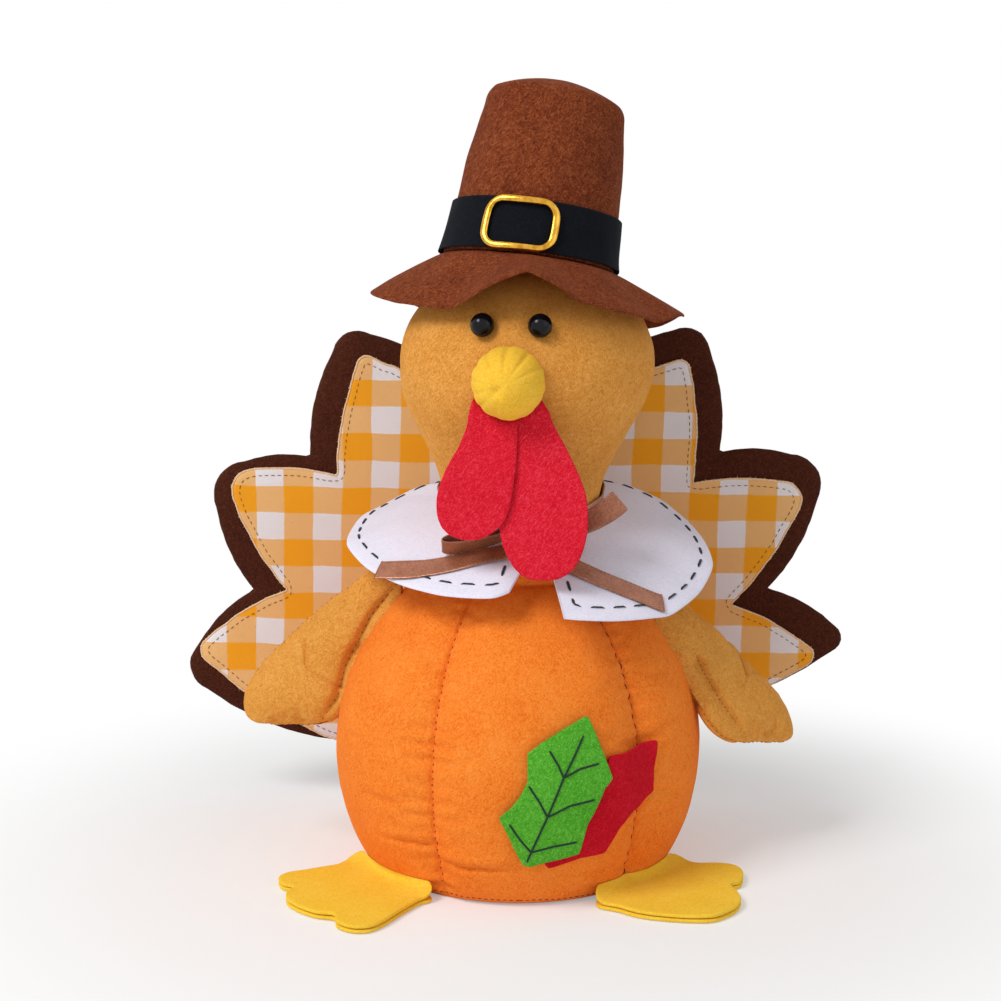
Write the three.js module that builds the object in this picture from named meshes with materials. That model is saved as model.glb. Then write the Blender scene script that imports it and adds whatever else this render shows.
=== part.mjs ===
// Stuffed felt turkey that stands on a table, with a pilgrim hat, a felt collar and a padded tail fan.
// Lengths are in millimetres and angles in degrees. +Z is up, the front faces -Y, and the origin is
// the middle of the underside of the base. Left and right are the viewer's left and right.

import * as THREE from 'three';
import { mergeVertices } from 'three/addons/utils/BufferGeometryUtils.js';

// Cloth and fit
const FELT = 1.2;
const SEAT = 0.3;
const FILL_GAP = 0.9;
const NECK_EASE = 0.5;

// Body
const BODY_RADIUS = 61.5;
const BODY_WAIST = 43.5;
const BODY_RISE = 66;
const BODY_FALL = 73;
const BACK_PRESS = 4.5;
const SEAM_DIP = 1.8;
const GORES = ['gore_front', 'gore_front_right', 'gore_back_right', 'gore_back_left', 'gore_front_left'];
const BODY_TURN = 7;
const CARD = 1.6;
const CARD_INSET = 3;
const BAG_RADIUS = 36;
const BAG_HEIGHT = 20;

// Head
const NECK_RADIUS = 27.5;
const HEAD_RADIUS = 43.8;
const HEAD_LIFT = 70.5;
const HEAD_RISE = 38;
const NECK_TAPER = 46.5;
const HEAD_SHIFT = 3;
const FACE_TURN = -8;
const EYE_RADIUS = 4;
const EYE_DEPTH = 5.8;
const EYE_SPREAD = 9;
const EYE_UP = 16;
const BEAK_RADIUS = 12;
const BEAK_LENGTH = 14;
const BEAK_DROP = 1;

// Wattles
const WATTLE_FELT = 1.3;
const WATTLE_SLOPE = 6.5;
const WATTLE_ROOT_WIDTH = 27;
const WATTLE_ROOT_HEIGHT = 15.5;
const LONG_WATTLE = { length: 49.5, width: 28 };
const SHORT_WATTLE = { length: 37, width: 26 };
const LONG_WATTLE_SHARES = [
  [0.5, 0], [0.72, -0.2], [0.9, -0.44], [0.92, -0.68], [0.83, -0.87], [0.66, -0.97],
  [0.43, -1], [0.17, -0.97], [-0.02, -0.82], [-0.1, -0.62], [-0.1, -0.3], [-0.07, 0],
];
const SHORT_WATTLE_SHARES = [
  [0.11, 0], [0.1, -0.32], [0.04, -0.67], [-0.06, -0.85], [-0.28, -0.97], [-0.5, -1],
  [-0.72, -0.95], [-0.85, -0.84], [-0.88, -0.64], [-0.79, -0.41], [-0.62, -0.2], [-0.52, 0],
];

// Collar: azimuth from the front, how far the edge reaches and how far it hangs
const COLLAR_REACH = 60;
const COLLAR_DROP = 25;
const COLLAR_HEIGHT = 19;
const COLLAR_TILT = 5.5;
const COLLAR_ARCH = 1.5;
const COLLAR_COLUMNS = 52;
const COLLAR_EDGE_SHARES = [
  [14, 0.88, 0.65], [18, 0.975, 0.81], [37, 1.02, 0.9], [52, 1.05, 0.98], [70, 1.09, 0.86],
  [82, 1.13, 0.64], [94, 1.1, 0.5], [108, 1.06, 0.33], [119, 1, 0.14], [130, 0.9, 0.02],
  [145, 0.84, 0], [180, 0.78, 0], [215, 0.74, 0], [226, 0.83, 0.03], [238, 0.94, 0.22],
  [252, 0.97, 0.27], [265, 0.98, 0.34], [280, 0.99, 0.36], [300, 0.93, 0.51], [315, 0.875, 0.58],
  [330, 0.87, 0.59], [352, 0.85, 0.52], [356, 0.77, 0.44],
];

// Ribbon and bow
const RIBBON_WIDTH = 8;
const RIBBON_THICK = 0.5;
const RIBBON_LIFT = 0.6;
const KNOT_WIDTH = 7;
const KNOT_DEPTH = 5;
const BOW_TURN = 4;
const TAIL_START_SHARE = 0.3;
const LEFT_TAIL = { start: -12, end: -58, endShare: 1 };
const RIGHT_TAIL = { start: 17, end: 52, endShare: 0.93 };
const LOOP_RISE = 5;
const LEFT_LOOP = { length: 22, heading: 190, lift: -8, roll: 15 };
const RIGHT_LOOP = { length: 28, heading: 0, lift: 24, roll: 65 };

// Hat
const CROWN_RADIUS = 29.6;
const CROWN_TOP_RADIUS = 23.5;
const CROWN_HEIGHT = 54;
const CROWN_SHIFT = 2.5;
const CROWN_SLUMP = 3.5;
const HAT_TIP_BACK = 10;
const HAT_LEAN = 7;
const HAT_SLIDE = 3.8;
const TOP_BULGE = 8;
const BRIM_RADIUS = 57;
const BRIM_DROOP = 21.5;
const BRIM_DROOP_SHARES = [
  [-180, 0.45], [-150, 0.7], [-120, 0.6], [-90, 0.7], [-75, 0.82], [-60, 0.95], [-30, 1],
  [-20, 0.84], [-10, 0.6], [0, 0.35], [10, 0.5], [20, 0.72], [40, 0.72], [60, 0.77], [70, 0.58],
  [80, 0.51], [100, 0.42], [130, 0.65], [155, 0.4], [180, 0.45],
];
const BAND_HEIGHT = 17.2;
const BAND_THICK = 1;
const BUCKLE = { width: 24, height: 18, bar: 2.6, thick: 1.5, corner: 3.4 };
const BUCKLE_TURN = -9;
const RING_STEPS = 48;

// Wings: along the limb and across it, the outer side first
const WING_LENGTH = 67;
const WING_WIDTH = 34;
const WING_THICK = 15;
const WING_FORWARD = 4;
const WINGS = [
  { name: 'left_wing', side: -1, drop: 6.5, splay: 36, twist: 20 },
  { name: 'right_wing', side: 1, drop: 13.5, splay: 37, twist: 56 },
];
const WING_SHARES = [
  [-0.05, 0.08], [0.02, 0.23], [0.15, 0.33], [0.34, 0.47], [0.54, 0.54], [0.73, 0.6], [0.88, 0.57],
  [0.98, 0.45], [1, 0.3], [0.95, 0.12], [0.87, -0.06], [0.78, -0.26], [0.7, -0.37], [0.58, -0.36],
  [0.42, -0.28], [0.26, -0.21], [0.1, -0.19], [-0.02, -0.13],
];

// Tail fan: bearing, distance and radius of each round lobe tip and of the notches (radius 0) between
const FAN_RADIUS = 120;
const FAN_RISE = 80;
const TAIL_FELT = 1.2;
const BATTING = 3.4;
const BATTING_INSET = 2.5;
const GINGHAM = 0.6;
const FAN_SHARES = [
  [-130.4, 0.733, 0], [-103.2, 0.978, 0.088], [-88.5, 0.833, 0], [-68.9, 0.909, 0.104],
  [-55.3, 0.786, 0], [-32.9, 0.887, 0.079], [-16, 0.75, 0], [0, 0.8, 0.09], [16, 0.75, 0],
  [34, 0.913, 0.079], [54.1, 0.786, 0], [67.5, 0.928, 0.1], [88.2, 0.797, 0], [97.8, 0.998, 0.046],
  [123.4, 0.659, 0],
];
const GINGHAM_SHARES = [
  [-130.4, 0.731, 0], [-99.9, 0.979, 0.037], [-87.9, 0.72, 0], [-67.5, 0.888, 0.071], [-55, 0.681, 0],
  [-32.1, 0.86, 0.033], [-15, 0.68, 0], [0, 0.77, 0.04], [15, 0.68, 0], [35.1, 0.875, 0.033],
  [56.3, 0.657, 0], [69.4, 0.891, 0.058], [91.8, 0.674, 0], [101.7, 0.928, 0.035], [124, 0.663, 0],
];
const FAN_TIP_STEPS = 7;

// Feet: across the foot towards the middle of the body, and out from the heel
const FOOT_FELT = 1.35;
const FOOT_LENGTH = 41;
const FOOT_WIDTH = 54;
const FOOT_TURN = 50.5;
const LEFT_FOOT_SHARES = [
  [-0.42, 0], [0.29, 0], [0.36, 0.18], [0.42, 0.4], [0.5, 0.66], [0.52, 0.82], [0.46, 0.93],
  [0.34, 0.96], [0.23, 0.89], [0.14, 0.97], [0, 1.01], [-0.14, 1], [-0.25, 0.92], [-0.31, 0.8],
  [-0.4, 0.83], [-0.5, 0.78], [-0.53, 0.66], [-0.5, 0.5], [-0.46, 0.25],
];
const RIGHT_FOOT_SHARES = [
  [-0.36, 0], [0.4, 0], [0.45, 0.28], [0.44, 0.49], [0.36, 0.73], [0.24, 0.95], [0.1, 1],
  [-0.02, 0.99], [-0.14, 0.92], [-0.23, 0.79], [-0.29, 0.69], [-0.36, 0.72], [-0.43, 0.69],
  [-0.53, 0.61], [-0.59, 0.5], [-0.575, 0.37], [-0.48, 0.21],
];

// Leaves: place of the stem end on the body, tilt to the right, and half widths along the leaf
const LEAF_FELT = 1;
const LEAF_ROWS = 14;
const GREEN_LEAF = { length: 53, halfWidth: 15, azimuth: 2, height: 17.5, tilt: 22, layer: 1 };
const RED_LEAF = { length: 56, halfWidth: 14, azimuth: 8.5, height: 16.5, tilt: 48.5, layer: 0 };
const GREEN_LEFT_SHARES = [
  [0, 0.08], [0.09, 0.4], [0.17, 0.67], [0.245, 0.95], [0.33, 0.81], [0.42, 0.74], [0.52, 0.72],
  [0.6, 0.84], [0.68, 0.95], [0.77, 0.75], [0.88, 0.44], [1, 0.03],
];
const GREEN_RIGHT_SHARES = [
  [0, 0.08], [0.05, 0.3], [0.18, 0.98], [0.26, 0.92], [0.37, 0.84], [0.46, 0.87], [0.55, 0.88],
  [0.62, 0.88], [0.69, 0.98], [0.79, 0.67], [0.92, 0.28], [1, 0.03],
];
const RED_LEFT_SHARES = [
  [0, 0.08], [0.15, 0.6], [0.28, 0.95], [0.4, 0.7], [0.55, 0.72], [0.7, 1], [0.8, 0.62], [0.9, 0.38],
  [1, 0.03],
];
const RED_RIGHT_SHARES = [
  [0, 0.08], [0.17, 0.4], [0.3, 0.8], [0.37, 0.72], [0.46, 0.6], [0.58, 0.6], [0.72, 0.8],
  [0.78, 0.8], [0.87, 0.38], [1, 0.03],
];

const rad = THREE.MathUtils.degToRad;
const lerp = THREE.MathUtils.lerp;

// Drops the triangles that fold to a line and returns the geometry with its faces pointing out.
function cleaned(geometry) {
  const index = geometry.index.array;
  const place = geometry.attributes.position;
  const kept = [];
  for (let i = 0; i < index.length; i += 3) {
    const [a, b, c] = [index[i], index[i + 1], index[i + 2]];
    if (a !== b && b !== c && c !== a) kept.push([a, b, c]);
  }
  const corner = (i) => new THREE.Vector3().fromBufferAttribute(place, i);
  let volume = 0;
  for (const [a, b, c] of kept) volume += corner(a).dot(corner(b).cross(corner(c)));
  geometry.setIndex(kept.flatMap(([a, b, c]) => (volume < 0 ? [a, c, b] : [a, b, c])));
  geometry.computeVertexNormals();
  return geometry;
}

// Merges a geometry's corners and moves each one where the shape function puts it.
function formed(geometry, shape = (p) => p) {
  geometry.deleteAttribute('normal');
  geometry.deleteAttribute('uv');
  const merged = mergeVertices(geometry);
  const place = merged.attributes.position;
  const point = new THREE.Vector3();
  for (let i = 0; i < place.count; i += 1) {
    const moved = shape(point.fromBufferAttribute(place, i).clone());
    place.setXYZ(i, moved.x, moved.y, moved.z);
  }
  return cleaned(merged);
}

// A sheet with a thickness: the shape function takes shares across, along and through it.
function sheet(across, along, shape) {
  const unit = new THREE.BoxGeometry(1, 1, 1, across, along, 1);
  const half = 1 / 2;
  return formed(unit, (p) => shape(p.x + half, p.y + half, p.z + half));
}

// A form turned about +Z from [radius, height] pairs, with azimuth 0 at the front.
function turned(profile, steps, shape) {
  const points = profile.map(([r, z]) => new THREE.Vector2(r, z));
  const lathe = new THREE.LatheGeometry(points, steps);
  lathe.rotateX(Math.PI / 2);
  return formed(lathe, shape);
}

// A flat piece cut from felt in the XY plane, its thickness along +Z.
function cut(points, thick) {
  const shape = new THREE.Shape(points.map(([x, y]) => new THREE.Vector2(x, y)));
  return new THREE.ExtrudeGeometry(shape, { depth: thick, bevelEnabled: false });
}

// Smooth closed outline through the points.
function smooth(points, steps) {
  const curve = new THREE.CatmullRomCurve3(points.map(([x, y]) => new THREE.Vector3(x, y, 0)), true);
  return curve.getPoints(steps).slice(0, -1).map((p) => [p.x, p.y]);
}

// Value at a key in a table of [key, value, ...] rows.
function between(rows, key, column = 1) {
  const next = Math.max(1, rows.findIndex((row) => row[0] >= key));
  const [low, high] = [rows[next - 1], rows[next]];
  return lerp(low[column], high[column], (key - low[0]) / (high[0] - low[0]));
}

function around(azimuth, radius, height) {
  const a = rad(azimuth);
  return new THREE.Vector3(radius * Math.sin(a), -radius * Math.cos(a), height);
}

// How far round +Z a point lies, from 0 at the front to 1.
function shareOfTurn(p) {
  return THREE.MathUtils.euclideanModulo(Math.atan2(p.x, -p.y) / (2 * Math.PI), 1);
}

function piece(name, geometry, colour, roughness = 0.95, metalness = 0) {
  const material = new THREE.MeshStandardMaterial({ color: colour, roughness, metalness });
  const mesh = new THREE.Mesh(geometry, material);
  mesh.name = name;
  return mesh;
}

// Body: five gores over one filling, closed below by a panel, a card and a weight bag

const openingRadius = NECK_RADIUS - FELT;
const backSeat = BODY_RADIUS - BACK_PRESS;
const goreStep = 360 / GORES.length;

function bodyReach(above, inset) {
  return (above ? BODY_RISE : BODY_FALL) - inset;
}

function sideAngles(inset) {
  const low = -Math.asin(BODY_WAIST / bodyReach(false, inset));
  return [low, Math.acos(openingRadius / (BODY_RADIUS - inset))];
}

// Radius and height on the body's side, from the base (share 0) to the neck opening (share 1).
function bodySide(share, inset) {
  const angle = lerp(...sideAngles(inset), share);
  const reach = bodyReach(angle > 0, inset);
  return [(BODY_RADIUS - inset) * Math.cos(angle), BODY_WAIST + reach * Math.sin(angle)];
}

function bodyRadiusAt(height) {
  const rise = Math.min(1, Math.abs(height - BODY_WAIST) / bodyReach(height > BODY_WAIST, 0));
  return BODY_RADIUS * Math.sqrt(1 - rise * rise);
}

// The seams pull the cover in, and the back is pressed flat where the tail is sewn on.
function pulledIn(azimuth, radius, height, inset) {
  const across = THREE.MathUtils.euclideanModulo(azimuth - BODY_TURN, goreStep) / goreStep;
  const edge = 1 - Math.abs(2 * across - 1);
  const [low, high] = sideAngles(inset);
  const rise = (height - BODY_WAIST) / bodyReach(height > BODY_WAIST, inset);
  const share = THREE.MathUtils.clamp((Math.asin(rise) - low) / (high - low), 0, 1);
  const dip = inset > FELT ? 1 : edge ** 4;
  const pulled = radius - SEAM_DIP * dip * Math.sin(Math.PI * share);
  const backward = -Math.cos(rad(azimuth));
  return backward > 0 ? Math.min(pulled, (backSeat - inset) / backward) : pulled;
}

function gore(name, number) {
  const middle = BODY_TURN + number * goreStep;
  const geometry = sheet(6, 10, (u, v, w) => {
    const inset = (1 - w) * FELT;
    const [radius, height] = bodySide(v, inset);
    const gap = THREE.MathUtils.radToDeg(SEAT / radius);
    const azimuth = middle + (u - 1 / 2) * (goreStep - gap);
    return around(azimuth, pulledIn(azimuth, radius, height, inset), height);
  });
  return piece(name, geometry, 0xf28322);
}

const panelRadius = bodySide(0, FELT)[0] - SEAT;
const cardBottom = FELT + SEAT;
const bagBottom = cardBottom + CARD + SEAT;

function disc(radius, bottom, top) {
  return turned([[0, bottom], [radius, bottom], [radius, top], [0, top]], 40);
}

function basePanel() {
  return piece('base_panel', disc(panelRadius, 0, FELT), 0xe0741c);
}

function baseCard() {
  return piece('base_card', disc(panelRadius - CARD_INSET, cardBottom, cardBottom + CARD), 0xb59b78);
}

// A bag of sand or beans: a low bun with a flat bottom.
function bagProfile(grow) {
  const rows = 6;
  const profile = [];
  for (let i = 0; i < rows; i += 1) {
    const angle = (i / rows) * (Math.PI / 2);
    const radius = (BAG_RADIUS + grow) * Math.sqrt(Math.cos(angle));
    profile.push([radius, bagBottom + (BAG_HEIGHT + grow) * Math.sin(angle)]);
  }
  return [...profile, [0, bagBottom + BAG_HEIGHT + grow]];
}

function weightBag() {
  return piece('weight_bag', turned([[0, bagBottom], ...bagProfile(0)], 30), 0xd8cdb8);
}

// The filling lies over the weight bag and follows the inside of the cover.
function bodyStuffing() {
  const inset = FELT + FILL_GAP;
  const rows = 10;
  const side = [];
  for (let i = 1; i <= rows; i += 1) side.push(bodySide(lerp(0.06, 1, i / rows), inset));
  const profile = [...bagProfile(SEAT).reverse(), ...side, [0, side[rows - 1][1]]];
  const shape = (p) => {
    const radius = Math.hypot(p.x, p.y);
    if (radius < BAG_RADIUS + FILL_GAP) return p;
    const azimuth = THREE.MathUtils.radToDeg(Math.atan2(p.x, -p.y));
    return around(azimuth, pulledIn(azimuth, radius, p.z, inset), p.z);
  };
  return piece('body_stuffing', turned(profile, 30, shape), 0xf3f0ea);
}

// Head: a fleece cover that narrows to a thick neck, standing on the body's opening

const neckBase = bodySide(1, 0)[1] + SEAT;
const headHeight = neckBase + HEAD_LIFT;

function headSide(share, inset) {
  const up = Math.max(0, 2 * share - 1) * (Math.PI / 2);
  const down = Math.max(0, 1 - 2 * share) * HEAD_LIFT;
  const narrowed = Math.min(1, down / NECK_TAPER);
  const ease = (1 + Math.cos(Math.PI * narrowed)) / 2;
  const radius = lerp(NECK_RADIUS, HEAD_RADIUS, ease) - inset;
  return [radius * Math.cos(up), headHeight - down + (HEAD_RISE - inset) * Math.sin(up)];
}

function headRadiusAt(height) {
  const up = height - headHeight;
  if (up > 0) return HEAD_RADIUS * Math.sqrt(Math.max(0, 1 - (up / HEAD_RISE) ** 2));
  return headSide((1 + up / HEAD_LIFT) / 2, 0)[0];
}

function headShift(height) {
  return HEAD_SHIFT * THREE.MathUtils.clamp((height - neckBase) / HEAD_LIFT, 0, 1);
}

function headProfile(inset) {
  const rows = 14;
  const profile = [];
  for (let i = 0; i < rows; i += 1) profile.push(headSide(i / rows, inset));
  return [...profile, [0, headHeight + HEAD_RISE - inset]];
}

function leaned(p) {
  return new THREE.Vector3(p.x + headShift(p.z), p.y, p.z);
}

function headCover() {
  const profile = [...headProfile(FELT).reverse(), ...headProfile(0)];
  return piece('head_cover', turned(profile, 28, leaned), 0xcf9040);
}

function headStuffing() {
  const bottom = bodySide(1, FELT + FILL_GAP)[1] + SEAT;
  const side = headProfile(FELT + FILL_GAP);
  const profile = [[0, bottom], [side[0][0], bottom], ...side.slice(1)];
  return piece('head_stuffing', turned(profile, 28, leaned), 0xf3f0ea);
}

// The face: everything here is placed from the middle of the head, looking along -Y.
function face() {
  const group = new THREE.Group();
  group.position.set(HEAD_SHIFT, 0, headHeight);
  group.rotation.z = rad(FACE_TURN);
  group.add(eye('left_eye', -1), eye('right_eye', 1), beakCover(), beakStuffing());
  group.add(wattleRoot(), longWattle(), shortWattle());
  return group;
}

function eye(name, side) {
  const middle = EYE_DEPTH - EYE_RADIUS;
  const rows = 6;
  const start = -Math.asin(middle / EYE_RADIUS);
  const profile = [[0, 0]];
  for (let i = 0; i < rows; i += 1) {
    const angle = lerp(start, Math.PI / 2, i / rows);
    profile.push([EYE_RADIUS * Math.cos(angle), middle + EYE_RADIUS * Math.sin(angle)]);
  }
  const mesh = piece(name, turned([...profile, [0, EYE_DEPTH]], 16), 0x0b0b0d, 0.12);
  const flat = headRadiusAt(headHeight + EYE_UP);
  const x = side * EYE_SPREAD;
  const place = new THREE.Vector3(x, -Math.sqrt(flat * flat - x * x), EYE_UP);
  const normal = new THREE.Vector3(place.x, place.y, place.z * (HEAD_RADIUS / HEAD_RISE) ** 2).normalize();
  mesh.position.copy(place).addScaledVector(normal, SEAT);
  mesh.quaternion.setFromUnitVectors(new THREE.Vector3(0, 0, 1), normal);
  return mesh;
}

const wattleBack = HEAD_RADIUS + SEAT;
const beakBack = wattleBack + WATTLE_FELT + SEAT;

function dome(inset) {
  const rows = 6;
  const profile = [];
  for (let i = 0; i < rows; i += 1) {
    const angle = (i / rows) * (Math.PI / 2);
    profile.push([(BEAK_RADIUS - inset) * Math.cos(angle), (BEAK_LENGTH - inset) * Math.sin(angle)]);
  }
  return [...profile, [0, BEAK_LENGTH - inset]];
}

function onBeak(name, geometry, colour) {
  geometry.rotateX(Math.PI / 2);
  const mesh = piece(name, geometry, colour);
  mesh.position.set(0, -beakBack, -BEAK_DROP);
  return mesh;
}

function beakCover() {
  return onBeak('beak_cover', turned([...dome(FELT).reverse(), ...dome(0)], 24), 0xf6c544);
}

function beakStuffing() {
  return onBeak('beak_stuffing', turned([[0, 0], ...dome(FELT + SEAT)], 24), 0xf3f0ea);
}

// Wattles: two felt lobes that swing from the lower edge of a root glued under the beak. The short
// lobe lies on the long one, so its hinge line is one thickness further forward.
const wattlePlay = WATTLE_FELT / 2 + SEAT;
const hingeDrop = BEAK_DROP + BEAK_RADIUS + WATTLE_FELT + wattlePlay;

function upright(points, thick) {
  return cut(points, thick).rotateX(Math.PI / 2);
}

function wattleRoot() {
  const half = WATTLE_ROOT_WIDTH / 2;
  const top = wattlePlay + WATTLE_ROOT_HEIGHT;
  const outlineShares = [
    [-0.9, 0], [1.05, 0], [1, 0.23], [0.7, 0.6], [0.5, 1], [-0.5, 1], [-0.75, 0.55], [-1, 0.2],
  ];
  const points = outlineShares.map(([u, v]) => [u * half, lerp(wattlePlay, top, v)]);
  const mesh = piece('wattle_root', formed(upright(points, WATTLE_FELT)), 0xd41f34);
  mesh.position.set(0, -wattleBack, -hingeDrop);
  return mesh;
}

function wattle(name, size, outlineShares, layer) {
  const points = outlineShares.map(([u, v]) => [u * size.width, v * size.length]);
  const mesh = piece(name, formed(upright(points, WATTLE_FELT)), 0xd41f34);
  const slope = new THREE.Group();
  slope.position.set(0, -wattleBack, -hingeDrop);
  slope.rotation.x = -rad(WATTLE_SLOPE);
  mesh.position.y = -layer * (WATTLE_FELT + SEAT);
  slope.add(mesh);
  return slope;
}

function longWattle() {
  return wattle('long_wattle', LONG_WATTLE, LONG_WATTLE_SHARES, 0);
}

function shortWattle() {
  return wattle('short_wattle', SHORT_WATTLE, SHORT_WATTLE_SHARES, 1);
}

// Collar: one felt sheet round the neck, open in front

function collarNeck(azimuth) {
  return neckBase + COLLAR_HEIGHT - COLLAR_TILT * Math.cos(rad(azimuth));
}

// A point on the collar, from the neck (share 0) to the edge (share 1), raised by the lift.
function collarPoint(azimuth, share, lift) {
  const turn = THREE.MathUtils.clamp(azimuth < COLLAR_EDGE_SHARES[0][0] ? azimuth + 360 : azimuth, 14, 356);
  const neck = collarNeck(turn);
  const inner = headRadiusAt(neck + FELT) + NECK_EASE;
  const reach = between(COLLAR_EDGE_SHARES, turn, 1) * COLLAR_REACH;
  const drop = between(COLLAR_EDGE_SHARES, turn, 2) * COLLAR_DROP;
  const height = neck - drop * share + COLLAR_ARCH * Math.sin(Math.PI * share) + lift;
  const point = around(azimuth, lerp(inner, reach, share), height);
  point.x += headShift(neck) * (1 - share);
  return point;
}

function collar() {
  const first = COLLAR_EDGE_SHARES[0][0];
  const last = COLLAR_EDGE_SHARES[COLLAR_EDGE_SHARES.length - 1][0];
  const shape = (u, v, w) => collarPoint(lerp(first, last, u), v, w * FELT);
  return piece('collar', sheet(COLLAR_COLUMNS, 4, shape), 0xf4f3f6);
}

// Ribbon: a band round the neck over the collar, and a bow on its front

function neckRibbon() {
  const thick = RIBBON_THICK;
  const section = [[0, 0], [thick, 0], [thick, RIBBON_WIDTH], [0, RIBBON_WIDTH], [0, 0]];
  const base = NECK_RADIUS;
  const profile = section.map(([r, z]) => [base + r, z]);
  const shape = (p) => {
    const azimuth = THREE.MathUtils.radToDeg(Math.atan2(p.x, -p.y));
    const height = collarNeck(azimuth) + FELT + SEAT + p.z;
    const radius = headRadiusAt(height) + NECK_EASE + Math.hypot(p.x, p.y) - base;
    const point = around(azimuth, radius, height);
    point.x += headShift(height);
    return point;
  };
  return piece('neck_ribbon', turned(profile, 40, shape), 0x96603f, 0.45);
}

const knotHeight = collarNeck(BOW_TURN) + FELT + SEAT + RIBBON_WIDTH / 2;

function knotPoint() {
  const radius = headRadiusAt(knotHeight) + NECK_EASE + RIBBON_THICK + SEAT + KNOT_DEPTH / 2;
  const point = around(BOW_TURN, radius, knotHeight);
  point.x += headShift(knotHeight);
  return point;
}

function bowKnot() {
  const geometry = new THREE.SphereGeometry(1 / 2, 12, 8);
  geometry.scale(KNOT_WIDTH, KNOT_DEPTH, RIBBON_WIDTH);
  const mesh = piece('bow_knot', formed(geometry), 0x96603f, 0.45);
  mesh.position.copy(knotPoint());
  mesh.rotation.z = rad(BOW_TURN);
  return mesh;
}

// A flattened ribbon loop that leaves the knot and comes back to it.
function bowLoop(name, loop) {
  const start = KNOT_WIDTH / 2 + SEAT;
  const geometry = sheet(20, 1, (u, v, w) => {
    const turn = 2 * Math.PI * lerp(0.03, 0.97, u);
    const out = start + (loop.length / 2) * (1 - Math.cos(turn));
    const rise = (LOOP_RISE / 2) * Math.sin(turn) * Math.sqrt((1 - Math.cos(turn)) / 2);
    const inward = (w - 1 / 2) * RIBBON_THICK;
    const across = (v - 1 / 2) * RIBBON_WIDTH * ((1 + Math.sin(turn / 2)) / 2);
    return new THREE.Vector3(out + inward * Math.cos(turn), across, rise - inward * Math.sin(turn));
  });
  const mesh = piece(name, geometry, 0x96603f, 0.45);
  mesh.position.copy(knotPoint());
  mesh.rotation.set(rad(loop.roll), -rad(loop.lift), rad(loop.heading), 'ZYX');
  return mesh;
}

// A ribbon end that lies on the collar.
function bowTail(name, tail) {
  const geometry = sheet(1, 14, (u, v, w) => {
    const azimuth = lerp(tail.start, tail.end, v);
    const share = lerp(TAIL_START_SHARE, tail.endShare, v);
    const reach = collarPoint(azimuth, 1, 0).sub(collarPoint(azimuth, 0, 0)).length();
    const across = ((u - 1 / 2) * RIBBON_WIDTH) / reach;
    return collarPoint(azimuth, share + across, FELT + RIBBON_LIFT + w * RIBBON_THICK);
  });
  return piece(name, geometry, 0x96603f, 0.45);
}

// Hat: everything here is placed along the hat's own axis, with height 0 at the middle of the head

const hatTurn = new THREE.Euler(-rad(HAT_TIP_BACK), rad(HAT_LEAN), 0);

// How high a ring of the hat sits on the head: every point of the ring clears the head.
function hatSeat(radius) {
  const flatten = (v) => {
    v.z *= (HEAD_RADIUS + SEAT) / (HEAD_RISE + SEAT);
    return v.divideScalar(HEAD_RADIUS + SEAT);
  };
  const up = flatten(new THREE.Vector3(0, 0, 1).applyEuler(hatTurn));
  let height = 0;
  for (let azimuth = 0; azimuth < 360; azimuth += 360 / RING_STEPS) {
    const point = around(azimuth, radius, 0).applyEuler(hatTurn);
    point.x -= HAT_SLIDE;
    flatten(point);
    const [a, b, c] = [up.lengthSq(), up.dot(point), point.lengthSq() - 1];
    height = Math.max(height, (Math.sqrt(Math.max(0, b * b - a * c)) - b) / a);
  }
  return height;
}

const crownInner = CROWN_RADIUS - FELT;
const hatBase = hatSeat(crownInner);
const crownBase = hatBase + FELT + SEAT;

function crownRadiusAt(height) {
  return lerp(CROWN_RADIUS, CROWN_TOP_RADIUS, (height - crownBase) / CROWN_HEIGHT);
}

// The soft crown leans to the right as it rises and slumps on that side.
function slanted(p) {
  const rise = Math.max(0, (p.z - crownBase) / CROWN_HEIGHT);
  const slump = CROWN_SLUMP * rise * (p.x / CROWN_TOP_RADIUS);
  return new THREE.Vector3(p.x + CROWN_SHIFT * rise, p.y, p.z - slump);
}

function hat() {
  const group = new THREE.Group();
  group.position.set(HEAD_SHIFT - HAT_SLIDE, 0, headHeight);
  group.rotation.copy(hatTurn);
  group.add(hatBrim(), hatCrown(), hatTop(), hatStuffing(), hatBand(), hatBuckle());
  return group;
}

function hatBrim() {
  const root = CROWN_RADIUS + SEAT;
  const width = BRIM_RADIUS - root;
  const stations = [crownInner, root, root + width / 3, root + (2 * width) / 3, BRIM_RADIUS];
  const under = stations.map((r) => [r, hatBase]);
  const over = stations.map((r) => [r, hatBase + FELT]).reverse();
  const shape = (p) => {
    const radius = Math.hypot(p.x, p.y);
    const azimuth = THREE.MathUtils.radToDeg(Math.atan2(p.x, -p.y));
    const out = Math.max(0, (radius - root) / width);
    const droop = BRIM_DROOP * between(BRIM_DROOP_SHARES, azimuth);
    const reach = Math.sqrt(width ** 2 - droop ** 2);
    return around(azimuth, Math.min(radius, root) + out * reach, p.z - droop * out ** 1.15);
  };
  return piece('hat_brim', turned([...under, ...over, under[0]], 48, shape), 0x70351c);
}

function hatCrown() {
  const top = crownBase + CROWN_HEIGHT;
  const profile = [
    [CROWN_RADIUS, crownBase], [CROWN_TOP_RADIUS, top], [CROWN_TOP_RADIUS - FELT, top],
    [crownInner, crownBase], [CROWN_RADIUS, crownBase],
  ];
  return piece('hat_crown', turned(profile, RING_STEPS, slanted), 0x70351c);
}

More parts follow.
